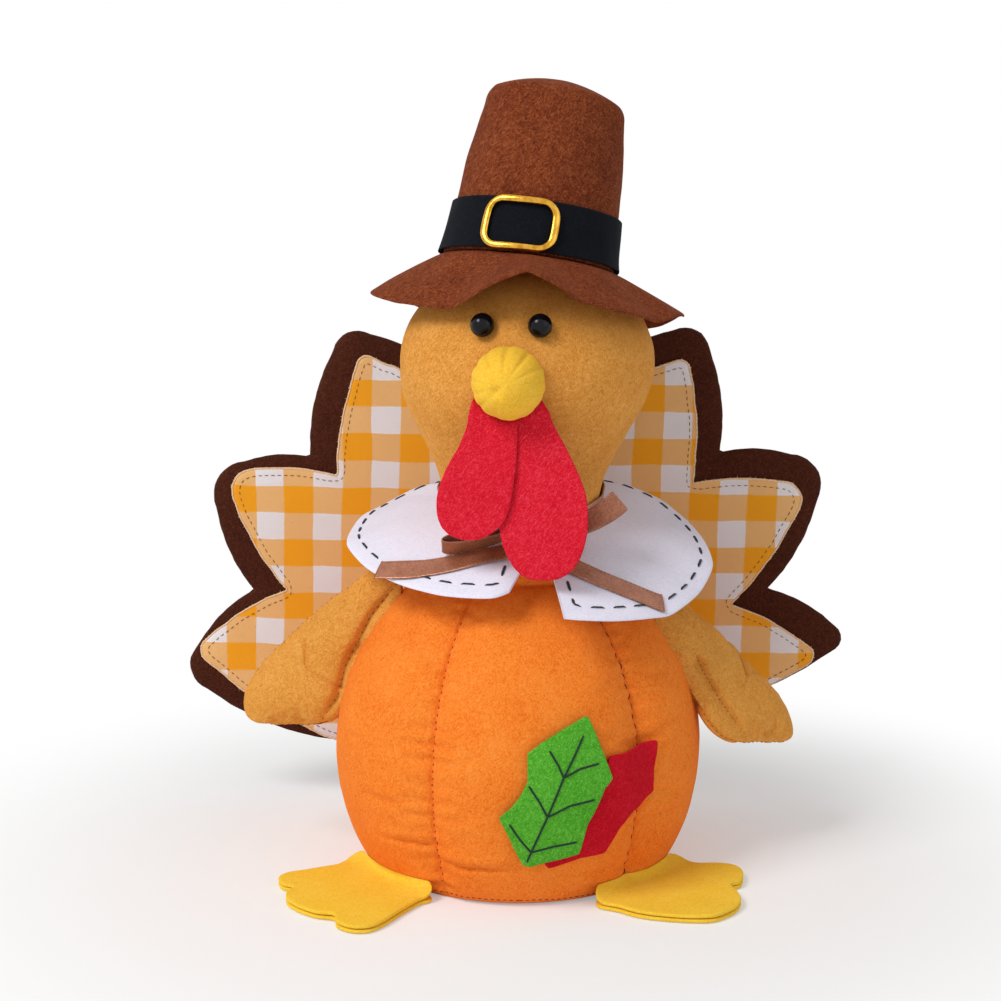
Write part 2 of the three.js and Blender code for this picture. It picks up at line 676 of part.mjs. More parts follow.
function hatTop() {
  const bottom = crownBase + CROWN_HEIGHT + SEAT;
  const bulge = (r) => TOP_BULGE * (1 - (r / CROWN_TOP_RADIUS) ** 2);
  const rings = [0, 0.5, 0.8, 1].map((share) => share * CROWN_TOP_RADIUS);
  const under = rings.map((r) => [r, bottom + bulge(r)]);
  const over = rings.map((r) => [r, bottom + FELT + bulge(r)]).reverse();
  return piece('hat_top', turned([...under, ...over], RING_STEPS, slanted), 0x70351c);
}

function hatStuffing() {
  const gap = FELT + FILL_GAP;
  const top = crownBase + CROWN_HEIGHT;
  const under = [0, 0.35, 0.7, 1].map((share) => {
    const radius = share * (crownInner - gap);
    return [radius, hatSeat(radius) + SEAT];
  });
  const low = crownBase + SEAT;
  const profile = [...under, [crownRadiusAt(low) - gap, low], [CROWN_TOP_RADIUS - gap, top], [0, top]];
  return piece('hat_stuffing', turned(profile, RING_STEPS, slanted), 0xf3f0ea);
}

const bandBottom = crownBase + 2 * SEAT;

function hatBand() {
  const top = bandBottom + BAND_HEIGHT;
  const [low, high] = [crownRadiusAt(bandBottom) + SEAT, crownRadiusAt(top) + SEAT];
  const profile = [
    [low, bandBottom], [low + BAND_THICK, bandBottom], [high + BAND_THICK, top], [high, top],
    [low, bandBottom],
  ];
  return piece('hat_band', turned(profile, RING_STEPS, slanted), 0x15181f, 0.8);
}

// A rectangle with round corners: arcs and straight sides, each in equal steps.
function roundedRectangle(width, height, corner) {
  const steps = 4;
  const centres = [[1, 1], [-1, 1], [-1, -1], [1, -1]].map(([u, v]) => [
    u * (width / 2 - corner),
    v * (height / 2 - corner),
  ]);
  const arcs = centres.map(([x, y], i) => {
    const points = [];
    for (let k = 0; k <= steps; k += 1) {
      const angle = (i + k / steps) * (Math.PI / 2);
      points.push([x + corner * Math.cos(angle), y + corner * Math.sin(angle)]);
    }
    return points;
  });
  return arcs.flatMap((arc, i) => {
    const [from, to] = [arc[steps], arcs[(i + 1) % 4][0]];
    for (let k = 1; k < steps; k += 1) {
      arc.push([lerp(from[0], to[0], k / steps), lerp(from[1], to[1], k / steps)]);
    }
    return arc;
  });
}

// A rounded rectangular frame bent round the band.
function hatBuckle() {
  const { width, height, bar, thick, corner } = BUCKLE;
  const outer = roundedRectangle(width, height, corner);
  const inner = roundedRectangle(width - 2 * bar, height - 2 * bar, corner - bar / 2);
  const middle = bandBottom + BAND_HEIGHT / 2;
  const seat = crownRadiusAt(middle) + BAND_THICK + 2 * SEAT;
  const tilt = (CROWN_RADIUS - CROWN_TOP_RADIUS) / CROWN_HEIGHT;
  const shape = (p) => {
    const step = Math.round(shareOfTurn(p) * outer.length) % outer.length;
    const share = Math.hypot(p.x, p.y) - 1;
    const across = lerp(inner[step][0], outer[step][0], share);
    const up = lerp(inner[step][1], outer[step][1], share);
    const azimuth = BUCKLE_TURN + THREE.MathUtils.radToDeg(across / seat);
    return slanted(around(azimuth, seat + p.z - tilt * up, middle + up));
  };
  const section = [[1, 0], [2, 0], [2, thick], [1, thick], [1, 0]];
  return piece('hat_buckle', turned(section, outer.length, shape), 0xd6a63a, 0.25, 1);
}

// Wings: two panels sewn round the edge over a filling, hung at the top of the body's sides

function wingOutline() {
  return smooth(WING_SHARES.map(([u, v]) => [u * WING_LENGTH, v * WING_WIDTH]), 28);
}

const wingMiddleShares = [0.56, 0.1];
const innerShare = 0.8;

// Half of a pillow shell (upper or lower) or the whole filling, as unit rings round the pillow's axis.
function domeRings(scale) {
  return [1, 0.93, 0.78, 0.5].map((r) => [scale * r, scale * Math.sqrt(1 - r * r)]);
}

function wingPoint(wing, p) {
  const outline = wingOutline();
  const size = p.length();
  const inset = size > (1 + innerShare) / 2 ? 0 : FELT + (size < innerShare ** 1.5 ? FILL_GAP : 0);
  const edge = outline[Math.round(shareOfTurn(p) * outline.length) % outline.length];
  const middle = [wingMiddleShares[0] * WING_LENGTH, wingMiddleShares[1] * WING_WIDTH];
  const arm = new THREE.Vector2(edge[0] - middle[0], edge[1] - middle[1]);
  const reach = (Math.hypot(p.x, p.y) / size) * (1 - inset / arm.length());
  const along = middle[0] + arm.x * reach;
  const across = middle[1] + arm.y * reach;
  const seam = inset > FELT ? 0 : Math.sign(wing.face) * (SEAT / 2);
  const through = (p.z / size) * (WING_THICK / 2 - inset) + seam;
  const [splay, twist] = [rad(wing.splay), rad(wing.twist)];
  const up = across * Math.cos(twist) + through * Math.sin(twist);
  const forward = through * Math.cos(twist) - across * Math.sin(twist);
  return new THREE.Vector3(
    wing.side * (along * Math.sin(splay) + up * Math.cos(splay)),
    -forward,
    up * Math.sin(splay) - along * Math.cos(splay),
  );
}

// How far out the wing's root sits, so that the wing just clears the body's side.
function wingRoot(wing) {
  const rings = [...domeRings(1), [0, 1]];
  const profile = [...rings.map(([r, z]) => [r, -z]).reverse(), ...rings.slice(1)];
  const skin = turned(profile, 28, (p) => wingPoint({ ...wing, face: 0 }, p)).attributes.position;
  const height = neckBase - wing.drop;
  let out = 0;
  for (let i = 0; i < skin.count; i += 1) {
    const side = bodyRadiusAt(skin.getZ(i) + height) + SEAT - wing.side * skin.getX(i);
    out = Math.max(out, side);
  }
  return new THREE.Vector3(wing.side * out, -WING_FORWARD, height);
}

function wingPiece(wing, part, face, colour) {
  const outer = [...domeRings(1), [0, 1]];
  const inner = [...domeRings(innerShare), [0, innerShare]];
  const core = [...domeRings(innerShare ** 2), [0, innerShare ** 2]];
  const shell = [...inner.slice().reverse(), ...outer].map(([r, z]) => [r, face * z]);
  const filling = [...core.map(([r, z]) => [r, -z]).reverse(), ...core.slice(1)];
  const geometry = turned(face ? shell : filling, 28, (p) => wingPoint({ ...wing, face }, p));
  const mesh = piece(`${wing.name}_${part}`, geometry, colour);
  mesh.position.copy(wingRoot(wing));
  return mesh;
}

function wingPieces(wing) {
  return [
    wingPiece(wing, 'front', 1, 0xcf9040),
    wingPiece(wing, 'back', -1, 0xcf9040),
    wingPiece(wing, 'stuffing', 0, 0xf3f0ea),
  ];
}

// Tail: gingham stitched on a padded felt fan that is sewn to the flat of the back

function compass(bearing, distance) {
  return new THREE.Vector2(distance * Math.sin(bearing), distance * Math.cos(bearing));
}

// Bearing of the point where the line from a notch touches a lobe's round tip.
function touch(tip, radius, notch, side) {
  const away = notch.clone().sub(tip);
  const lean = Math.acos(Math.min(1, radius / away.length()));
  return Math.atan2(away.x, away.y) - side * lean;
}

// The fan's outline: a straight side from each notch to the round tip beside it.
function fanOutline(shares, inset = 0) {
  const spot = ([bearing, share]) => compass(rad(bearing), share * (FAN_RADIUS - inset));
  const points = [spot(shares[0])];
  for (let i = 1; i < shares.length; i += 2) {
    const [before, tip, after] = shares.slice(i - 1, i + 2).map(spot);
    const radius = shares[i][2] * FAN_RADIUS - inset / 2;
    const aim = rad(shares[i][0]);
    const wrap = (a) => aim + THREE.MathUtils.euclideanModulo(a - aim + Math.PI, 2 * Math.PI) - Math.PI;
    const [start, end] = [wrap(touch(tip, radius, before, -1)), wrap(touch(tip, radius, after, 1))];
    for (let k = 0; k <= FAN_TIP_STEPS; k += 1) {
      points.push(compass(lerp(start, end, k / FAN_TIP_STEPS), radius).add(tip));
    }
    points.push(after);
  }
  return points.map((p) => [p.x, p.y + FAN_RISE]);
}

function tailLayer(name, outline, front, thick, colour) {
  const geometry = formed(upright(outline, thick));
  const mesh = piece(name, geometry, colour);
  mesh.position.y = front + thick;
  return mesh;
}

function tail() {
  const front = backSeat + SEAT;
  const face = front + GINGHAM + SEAT;
  const batting = face + TAIL_FELT + SEAT;
  const back = batting + BATTING + SEAT;
  const fan = fanOutline(FAN_SHARES);
  return [
    tailLayer('tail_gingham', fanOutline(GINGHAM_SHARES), front, GINGHAM, 0xf0b04a),
    tailLayer('tail_front_panel', fan, face, TAIL_FELT, 0x46200f),
    tailLayer('tail_batting', fanOutline(FAN_SHARES, BATTING_INSET), batting, BATTING, 0xf3f0ea),
    tailLayer('tail_back_panel', fan, back, TAIL_FELT, 0x46200f),
  ];
}

// Feet: two layers of felt each, sewn to the body along the heel

const footTop = 2 * FOOT_FELT + SEAT;
const heelReach = bodyRadiusAt(footTop) + SEAT;

function foot(name, side, outlineShares, part, bottom) {
  const points = outlineShares.map(([u, v]) => [side * u * FOOT_WIDTH, heelReach + v * FOOT_LENGTH]);
  const mesh = piece(`${name}_${part}`, formed(cut(points, FOOT_FELT)), 0xf6c544);
  mesh.position.z = bottom;
  mesh.rotation.z = -side * rad(180 - FOOT_TURN);
  return mesh;
}

function feet() {
  const sides = [['left_foot', -1, LEFT_FOOT_SHARES], ['right_foot', 1, RIGHT_FOOT_SHARES]];
  return sides.flatMap((side) => [foot(...side, 'sole', 0), foot(...side, 'upper', FOOT_FELT + SEAT)]);
}

// Leaves: felt cut-outs that lie on the body's front

function leaf(name, size, leftShares, rightShares, colour) {
  const tilt = rad(size.tilt);
  const lift = SEAT + size.layer * (LEAF_FELT + SEAT);
  const geometry = sheet(5, LEAF_ROWS, (u, v, w) => {
    const left = -between(leftShares, v) * size.halfWidth;
    const right = between(rightShares, v) * size.halfWidth;
    const along = v * size.length;
    const across = lerp(left, right, u);
    const height = size.height + along * Math.cos(tilt) - across * Math.sin(tilt);
    const arc = (along * Math.sin(tilt) + across * Math.cos(tilt)) / BODY_RADIUS;
    const azimuth = size.azimuth + THREE.MathUtils.radToDeg(arc);
    return around(azimuth, bodyRadiusAt(height) + lift + w * LEAF_FELT, height);
  });
  return piece(name, geometry, colour);
}

const turkey = new THREE.Group();
turkey.add(basePanel(), baseCard(), weightBag(), bodyStuffing(), ...GORES.map(gore));
turkey.add(headCover(), headStuffing(), face(), hat());
turkey.add(collar(), neckRibbon(), bowKnot());
turkey.add(bowLoop('left_loop', LEFT_LOOP), bowLoop('right_loop', RIGHT_LOOP));
turkey.add(bowTail('left_ribbon_end', LEFT_TAIL), bowTail('right_ribbon_end', RIGHT_TAIL));
turkey.add(...WINGS.flatMap(wingPieces), ...tail(), ...feet());
turkey.add(leaf('red_leaf', RED_LEAF, RED_LEFT_SHARES, RED_RIGHT_SHARES, 0xb8142c));
turkey.add(leaf('green_leaf', GREEN_LEAF, GREEN_LEFT_SHARES, GREEN_RIGHT_SHARES, 0x4fa532));

export default turkey;
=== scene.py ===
import math
import bpy
import numpy as np
from mathutils import Matrix, Vector, noise
from mathutils.bvhtree import BVHTree


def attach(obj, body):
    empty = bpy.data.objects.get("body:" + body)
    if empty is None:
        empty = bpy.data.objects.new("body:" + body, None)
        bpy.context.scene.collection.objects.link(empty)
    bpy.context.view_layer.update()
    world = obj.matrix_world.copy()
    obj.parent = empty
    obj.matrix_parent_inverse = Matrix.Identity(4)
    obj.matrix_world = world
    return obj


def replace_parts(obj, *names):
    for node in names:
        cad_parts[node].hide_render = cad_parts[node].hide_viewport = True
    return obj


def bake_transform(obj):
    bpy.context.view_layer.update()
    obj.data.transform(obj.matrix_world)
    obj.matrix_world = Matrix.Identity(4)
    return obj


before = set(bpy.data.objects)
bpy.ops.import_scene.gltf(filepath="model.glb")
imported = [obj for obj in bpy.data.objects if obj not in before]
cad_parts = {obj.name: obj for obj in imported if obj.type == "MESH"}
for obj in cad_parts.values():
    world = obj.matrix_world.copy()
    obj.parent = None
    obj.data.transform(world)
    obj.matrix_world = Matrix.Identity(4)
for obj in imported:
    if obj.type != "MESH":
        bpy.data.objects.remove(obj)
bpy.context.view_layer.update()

# The figure stands on a pale table in front of a white wall, under one broad soft lamp from the
# upper left and a weaker one from the right. The room is given in metres; everything from the body
# cover on is in millimetres and is made smaller by mm when its mesh is made.
mm = 0.001
picture = bpy.context.scene
picture.view_settings.view_transform = "Standard"

EYE, EYE_TILT, LENS, FILM_WIDTH = (-6, -672, 240), 9.53, 70.85, 36
camera_data = bpy.data.cameras.new("camera")
camera_data.lens, camera_data.sensor_width = LENS, FILM_WIDTH
camera = bpy.data.objects.new("camera", camera_data)
camera.location = Vector(EYE) * mm
camera.rotation_euler = (math.radians(90 - EYE_TILT), 0, 0)
picture.collection.objects.link(camera)
picture.camera = camera


def part_of(tree, kind, **values):
    """A shader node; a value that is a socket is linked, and any other is set."""
    made = tree.nodes.new(kind)
    for name, value in values.items():
        if name.startswith("set_"):
            setattr(made, name[4:], value)
            continue
        key = name.replace("_", " ")
        socket = next(s for s in made.inputs if s.name == key and s.enabled)
        if isinstance(value, bpy.types.NodeSocket):
            tree.links.new(value, socket)
        else:
            socket.default_value = value
    return made


def sums(tree, operation, first, second=0.0, third=0.0):
    """A number worked out in the shader from one, two or three others."""
    step = tree.nodes.new("ShaderNodeMath")
    step.operation = operation
    for socket, value in zip(step.inputs, (first, second, third)):
        if isinstance(value, bpy.types.NodeSocket):
            tree.links.new(value, socket)
        else:
            socket.default_value = value
    return step.outputs[0]


def spread(tree, value, start, end, low=0.0, high=1.0, kind="LINEAR"):
    """What lies from start to end, stretched to lie from low to high."""
    return part_of(tree, "ShaderNodeMapRange", set_interpolation_type=kind, Value=value,
                   From_Min=start, From_Max=end, To_Min=low, To_Max=high).outputs[0]


def seen_directly(tree):
    """1 for what the camera sees, straight on or in a shiny or clear surface."""
    path = part_of(tree, "ShaderNodeLightPath").outputs
    shiny = sums(tree, "MAXIMUM", path["Is Glossy Ray"], path["Is Transmission Ray"])
    return sums(tree, "MAXIMUM", path["Is Camera Ray"], shiny)


def mixed(tree, share, first, second):
    """The first shader where the share is 0, the second where it is 1."""
    both = part_of(tree, "ShaderNodeMixShader", Fac=share)
    tree.links.new(first.outputs[0], both.inputs[1])
    tree.links.new(second.outputs[0], both.inputs[2])
    return both.outputs[0]


def blank_material(name):
    """A material with nothing in it yet, its tree, and the place on the object for its patterns."""
    made = bpy.data.materials.new(name)
    made.use_nodes = True
    made.node_tree.nodes.clear()
    place = part_of(made.node_tree, "ShaderNodeTexCoord").outputs["Object"]
    return made, made.node_tree, place


WHITE = (1, 1, 1, 1)
room = bpy.data.worlds.new("room")
room.use_nodes = True
tree = room.node_tree
tree.nodes.clear()
air = part_of(tree, "ShaderNodeBackground", Color=(1, 0.99, 0.975, 1), Strength=0.48)
wall = part_of(tree, "ShaderNodeBackground", Color=WHITE, Strength=1.0)
part_of(tree, "ShaderNodeOutputWorld", Surface=mixed(tree, seen_directly(tree), air, wall))
picture.world = room

# place (x, y, z), watts, width of the square lamp
LAMPS = {"key_lamp": ((-1.05, -0.95, 1.5), 22, 0.75), "side_lamp": ((1.3, -1.0, 0.7), 1.8, 1.0)}
LAMP_AIM = Vector((0, 0, 0.13))
for name, (place, power, width) in LAMPS.items():
    light = bpy.data.lights.new(name, "AREA")
    light.energy, light.size = power, width
    lamp = bpy.data.objects.new(name, light)
    lamp.location = place
    lamp.rotation_euler = (LAMP_AIM - Vector(place)).to_track_quat("-Z", "Y").to_euler()
    picture.collection.objects.link(lamp)

# The table's paint fades to plain white between two distances from the figure.
TABLE_HALF, TABLE_TOP, FADE_START, FADE_END = 6.0, -0.0002, 0.11, 0.26
table_mesh = bpy.data.meshes.new("table_top")
table_mesh.from_pydata([(x * TABLE_HALF, y * TABLE_HALF, TABLE_TOP)
                        for x, y in ((-1, -1), (1, -1), (1, 1), (-1, 1))], [], [(0, 1, 2, 3)])
table_top = bpy.data.objects.new("table_top", table_mesh)
picture.collection.objects.link(table_top)
table_paint, tree, place = blank_material("table_white")
away = part_of(tree, "ShaderNodeVectorMath", set_operation="LENGTH", Vector=place).outputs["Value"]
fade = spread(tree, away, FADE_START, FADE_END, 0.3, kind="SMOOTHSTEP")
matt = part_of(tree, "ShaderNodeBsdfDiffuse", Color=(0.93, 0.93, 0.935, 1))
plain = part_of(tree, "ShaderNodeEmission", Color=WHITE, Strength=1.0)
white_share = sums(tree, "MULTIPLY", fade, seen_directly(tree))
part_of(tree, "ShaderNodeOutputMaterial", Surface=mixed(tree, white_share, matt, plain))
table_mesh.materials.append(table_paint)

# Body cover: five gores of orange plush, sewn side to side and stuffed hard, so that the cloth
# swells between the seams and puckers along them. The back is flat where the tail is sewn on.
BODY_RADIUS, BODY_WAIST, BODY_RISE, BODY_FALL = 61.5, 43.5, 66, 73
BACK_SEAT, SEAM_DIP, BODY_TURN, GORES = 57, 1.8, 7, 5
NECK_RADIUS, FELT = 27.5, 1.2
gore_step = 360 / GORES
side_low = -math.asin(BODY_WAIST / BODY_FALL)
side_high = math.acos((NECK_RADIUS - FELT) / BODY_RADIUS)


def within(value, low=0.0, high=1.0):
    """The value, or the limit that it goes past."""
    return min(high, max(low, value))


def wander(x, y=0.0, z=0.0):
    """A number from -1 to 1 that changes smoothly from place to place, and always the same way."""
    return noise.noise(Vector((x, y, z)))


def bell(off, width, power=2):
    """1 in the middle, next to nothing from twice the width on."""
    return math.exp(-((off / width) ** power))


def around(azimuth, radius, height):
    """A point round +Z, azimuth 0 in front, in millimetres and degrees."""
    a = math.radians(azimuth)
    return Vector((radius * math.sin(a), -radius * math.cos(a), height))


def body_side(share):
    """Radius and height, share of the way up the body's side."""
    angle = side_low + (side_high - side_low) * share
    reach = BODY_RISE if angle > 0 else BODY_FALL
    return BODY_RADIUS * math.cos(angle), BODY_WAIST + reach * math.sin(angle)


def body_point(azimuth, share):
    """A point of the cover as it is cut and sewn, before the filling pushes it out."""
    radius, height = body_side(share)
    across = ((azimuth - BODY_TURN) % gore_step) / gore_step
    dip = (1 - abs(2 * across - 1)) ** 4
    radius -= SEAM_DIP * dip * math.sin(math.pi * within(share))
    backward = -math.cos(math.radians(azimuth))
    if backward > 0:
        radius = min(radius, BACK_SEAT / backward)
    return around(azimuth, radius, height)


def lofted(rings, start_cap=True, end_cap=True):
    """Corners and faces of a closed form through rings of points, each end closed straight across."""
    count = len(rings[0])
    corners = [Vector(p) for ring in rings for p in ring]
    faces = []
    for r in range(len(rings) - 1):
        for i in range(count):
            j = (i + 1) % count
            faces.append((r * count + i, r * count + j, (r + 1) * count + j, (r + 1) * count + i))
    for capped, ring, turn in ((start_cap, 0, -1), (end_cap, len(rings) - 1, 1)):
        if not capped:
            continue
        base, half = ring * count, count // 2 - 1
        for s in range(half):
            faces.append((base + s, base + s + 1, base + count - 2 - s, base + count - 1 - s)[::turn])
        if count % 2:
            faces.append((base + half, base + half + 1, base + half + 2)[::turn])
    return corners, faces


def sewn(name, corners, faces, cloth, body, slot, rounds=1):
    """A piece of the figure from millimetre corners: smooth, dressed, and riding on its body."""
    mesh = bpy.data.meshes.new(name)
    mesh.from_pydata([tuple(Vector(c) * mm) for c in corners], [], faces)
    mesh.update()
    made = bpy.data.objects.new(name, mesh)
    picture.collection.objects.link(made)
    outward(mesh)
    mesh.polygons.foreach_set("use_smooth", [True] * len(mesh.polygons))
    mesh.materials.append(cloth)
    if rounds:
        smoother = made.modifiers.new("smoother", "SUBSURF")
        smoother.levels = smoother.render_levels = rounds
    if body:
        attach(made, body)
    return made


def outward(mesh):
    """Turns the faces out where the closed form's volume comes out negative."""
    volume = 0.0
    for face in mesh.polygons:
        a = mesh.vertices[face.vertices[0]].co
        for i in range(1, len(face.vertices) - 1):
            b = mesh.vertices[face.vertices[i]].co
            c = mesh.vertices[face.vertices[i + 1]].co
            volume += a.dot(b.cross(c))
    if volume < 0:
        mesh.flip_normals()


TRIAL_SCALE, TRIAL_STEPS = 0.01, 20


def puffed(corners, faces, held, pressure, slack, cap):
    """The corners after the filling has pushed the cloth out, cap millimetres at most: held has each
    corner's grip, 0 to 1, and slack is how much longer the cloth is than the seams that hold it."""
    mesh = bpy.data.meshes.new("trial_cloth")
    mesh.from_pydata([tuple(c * TRIAL_SCALE) for c in corners], [], faces)
    outward(mesh)
    trial = bpy.data.objects.new("trial_cloth", mesh)
    picture.collection.objects.link(trial)
    grip = trial.vertex_groups.new(name="held")
    for i, weight in enumerate(held):
        if weight > 0:
            grip.add([i], weight, "REPLACE")
    cloth = trial.modifiers.new("cloth", "CLOTH")
    for key, value in (("quality", 6), ("mass", 0.3), ("tension_stiffness", 18),
                       ("compression_stiffness", 18), ("shear_stiffness", 8), ("bending_stiffness", 0.4),
                       ("vertex_group_mass", "held"), ("pin_stiffness", 1.0), ("shrink_min", -slack),
                       ("use_pressure", True), ("uniform_pressure_force", pressure)):
        setattr(cloth.settings, key, value)
    cloth.settings.effector_weights.gravity = 0
    cloth.collision_settings.use_collision = False
    cloth.collision_settings.use_self_collision = False
    for step in range(1, TRIAL_STEPS + 1):
        picture.frame_set(step)
    shaped = trial.evaluated_get(bpy.context.evaluated_depsgraph_get()).to_mesh()
    result = []
    for start, end in zip(corners, shaped.vertices):
        step = end.co / TRIAL_SCALE - start
        if step.length > cap:
            step *= cap / step.length
        result.append(start + step)
    bpy.data.objects.remove(trial)
    picture.frame_set(1)
    return result


def paint(seen):
    """The colour that is seen as red, green, blue (0 to 255) in light as bright as daylight on paper."""
    def straight(value):
        return value / 12.92 if value <= 0.04045 else ((value + 0.055) / 1.055) ** 2.4
    return (*(straight(value / 255) for value in seen), 1)


def grains(tree, place, scale, detail=2.0, **values):
    """A cloudy pattern with so many grains to the metre."""
    return part_of(tree, "ShaderNodeTexNoise", Vector=place, Scale=scale, Detail=detail,
                   **values).outputs[0]


def toned(tree, tone, first, last, *between):
    """A number as a colour; each stop is a position from 0 to 1 and a colour as it is seen."""
    ramp = part_of(tree, "ShaderNodeValToRGB", Fac=tone)
    stops = ramp.color_ramp.elements
    for stop, (position, seen) in zip(stops, (first, last)):
        stop.position, stop.color = position, paint(seen)
    for position, seen in between:
        stops.new(position).color = paint(seen)
    return ramp.outputs[0]


def surfaced(tree, base, height, strength, depth, **values):
    """Ends a material: its colour, a relief of some depth, and what its surface is like."""
    relief = part_of(tree, "ShaderNodeBump", Strength=strength, Distance=depth * mm, Height=height)
    shader = part_of(tree, "ShaderNodeBsdfPrincipled", Base_Color=base, Normal=relief.outputs[0], **values)
    part_of(tree, "ShaderNodeOutputMaterial", Surface=shader.outputs[0])


def fibre_cloth(name, shade, middle, tip, grain=1.0, sheen=0.3, depth=0.16, fleck=0.5, mottle=0.2,
                strands=0.35, roughness=0.95):
    """Felt or plush: matted fibres in three tones, pale strands that lie across them, faint
    mottling and a fuzzy, raised surface."""
    made, tree, place = blank_material(name)
    cloud = grains(tree, place, 75 * grain)
    fibre = grains(tree, place, 760 * grain, 3.0, Roughness=0.62, Distortion=1.4)
    fuzz = grains(tree, place, 2300 * grain, Roughness=0.6)
    lying = 0.0
    for turn, width in (((0.5, 0.35, 0.8), 1.0), ((-0.6, 0.9, -0.5), 1.2)):
        aligned = part_of(tree, "ShaderNodeVectorRotate", set_rotation_type="EULER_XYZ", Vector=place,
                          Rotation=turn)
        drawn_out = part_of(tree, "ShaderNodeVectorMath", set_operation="MULTIPLY",
                            Vector=aligned.outputs[0])
        drawn_out.inputs[1].default_value = (0.16, 1, 1)
        streak = grains(tree, drawn_out.outputs[0], 2500 * grain * width, Distortion=0.5)
        lying = sums(tree, "MAXIMUM", spread(tree, streak, 0.48, 0.82), lying)
    tone = 0.5 - 0.5 * (fleck + 0.3 + mottle) - 0.15 * strands
    for pattern, weight in ((fibre, fleck), (fuzz, 0.3), (cloud, mottle), (lying, strands)):
        tone = sums(tree, "MULTIPLY_ADD", pattern, weight, tone)
    height = sums(tree, "MULTIPLY_ADD", fibre, 0.5, sums(tree, "MULTIPLY", fuzz, 0.3))
    height = sums(tree, "MULTIPLY_ADD", lying, 0.25, height)
    surfaced(tree, toned(tree, tone, (0.36, shade), (0.7, tip), (0.5, middle)), height, 0.7, depth,
             Roughness=roughness, Specular_IOR_Level=0.15, Sheen_Weight=sheen, Sheen_Roughness=0.45,
             Sheen_Tint=paint(tip))
    return made


def through(a, b, c, d, t):
    """A point between b and c on the smooth line through all four (Catmull-Rom)."""
    return 0.5 * (2 * b + (c - a) * t + (2 * a - 5 * b + 4 * c - d) * t ** 2
                  + (3 * b - a - 3 * c + d) * t ** 3)


def finer(corners, width, rows_by, columns_by):
    """The same surface with more rows and columns, smooth through the given corners; width is the
    number of corners round each closed row."""
    grid = np.array([tuple(c) for c in corners]).reshape(-1, width, 3)
    for closed, factor in ((False, rows_by), (True, columns_by)):
        n = len(grid)
        made = []
        for i in range(n if closed else n - 1):
            four = [grid[(i + k) % n if closed else within(i + k, 0, n - 1)] for k in (-1, 0, 1, 2)]
            made += [through(*four, s / factor) for s in range(factor)]
        if not closed:
            made.append(grid[-1])
        grid = np.array(made).transpose(1, 0, 2)
    return [Vector(p) for p in grid.reshape(-1, 3)], grid.shape[1]


body_plush = fibre_cloth("body_plush", (226, 101, 25), (245, 130, 40), (253, 158, 72),
                         grain=0.9, sheen=0.22, depth=0.14, fleck=0.4, mottle=0.14, strands=0.14)

BODY_ROWS, FINER = 46, 3
SEAM_STEPS = [0, 0.012, 0.035, 0.07, 0.12, 0.18, 0.25, 0.33, 0.41, 0.5]
SEAM_STEPS += [1 - s for s in reversed(SEAM_STEPS[1:-1])]
columns = [(BODY_TURN + gore_step * (g + 0.5 + s), s) for g in range(GORES) for s in SEAM_STEPS]
held = []
for r in range(BODY_ROWS + 1):
    for azimuth, s in columns:
        at_seam = min(s, 1 - s) < 0.03
        at_back = abs((azimuth % 360) - 180) < 58 and 0.15 < r / BODY_ROWS < 0.9
        held.append(1.0 if r in (0, BODY_ROWS) else max(0.97 * at_seam, 0.75 * at_back))
corners, faces = lofted([[body_point(azimuth, r / BODY_ROWS) for azimuth, _ in columns]
                         for r in range(BODY_ROWS + 1)], False, False)
corners = puffed(corners, faces, held, pressure=5, slack=0.035, cap=2.6)
body_corners, around_body = finer(corners, len(columns), FINER, FINER)
body_rows = BODY_ROWS * FINER
body_turns = []
for i, (azimuth, _) in enumerate(columns):
    step = (columns[(i + 1) % len(columns)][0] - azimuth) % 360
    body_turns += [azimuth + step * k / FINER for k in range(FINER)]
seam_turns = [BODY_TURN + gore_step * (g + 0.5) for g in range(GORES)]
# azimuth, height, half width and depth of each crease in the stuffed cloth
CREASES = [(-38, 20, 9, 1.7), (-15, 14.5, 12, 1.8), (-47, 34, 9, 0.8), (53, 27, 9, 1.2),
           (30, 12, 10, 1.1), (60, 58, 8, 0.5), (-60, 52, 9, 0.5), (110, 24, 12, 0.8),
           (-110, 22, 12, 0.8), (150, 16, 12, 0.7), (-150, 18, 12, 0.7)]
PUCKER_LENGTH = 6.6


def arc_from(azimuth, centre):
    """How far along the cover one azimuth is from another, the shorter way."""
    return ((azimuth - centre + 180) % 360 - 180) * math.radians(BODY_RADIUS)


for k, p in enumerate(body_corners):
    azimuth = body_turns[k % around_body]
    near = min(abs(arc_from(azimuth, turn)) for turn in seam_turns)
    share = min(1, 3 * math.sin(math.pi * (k // around_body) / body_rows))
    groove = 0.9 * bell(near, 0.75) + bell(near, 4.2)
    pucker = 0.34 * bell(near, 5.5) * (1 - 0.6 * bell(near, 1.2))
    pucker *= math.sin(p.z * 2 * math.pi / PUCKER_LENGTH + 4 * noise.noise(p / 11))
    pucker *= 1 + noise.noise(p / 17)
    push = (groove + pucker) * share
    for centre, height, width, dent in CREASES:
        off = arc_from(azimuth, centre)
        level = p.z - height - 1.2 * wander(off / 7, height)
        push += dent * bell(off, width) * (bell(level, 0.9) - 0.5 * bell(level - 2.8, 2.0))
    push += (0.45 * noise.noise(p / 19) + 0.1 * noise.noise(p / 6)) * share
    body_corners[k] = p - Vector((p.x, p.y, 0)).normalized() * push

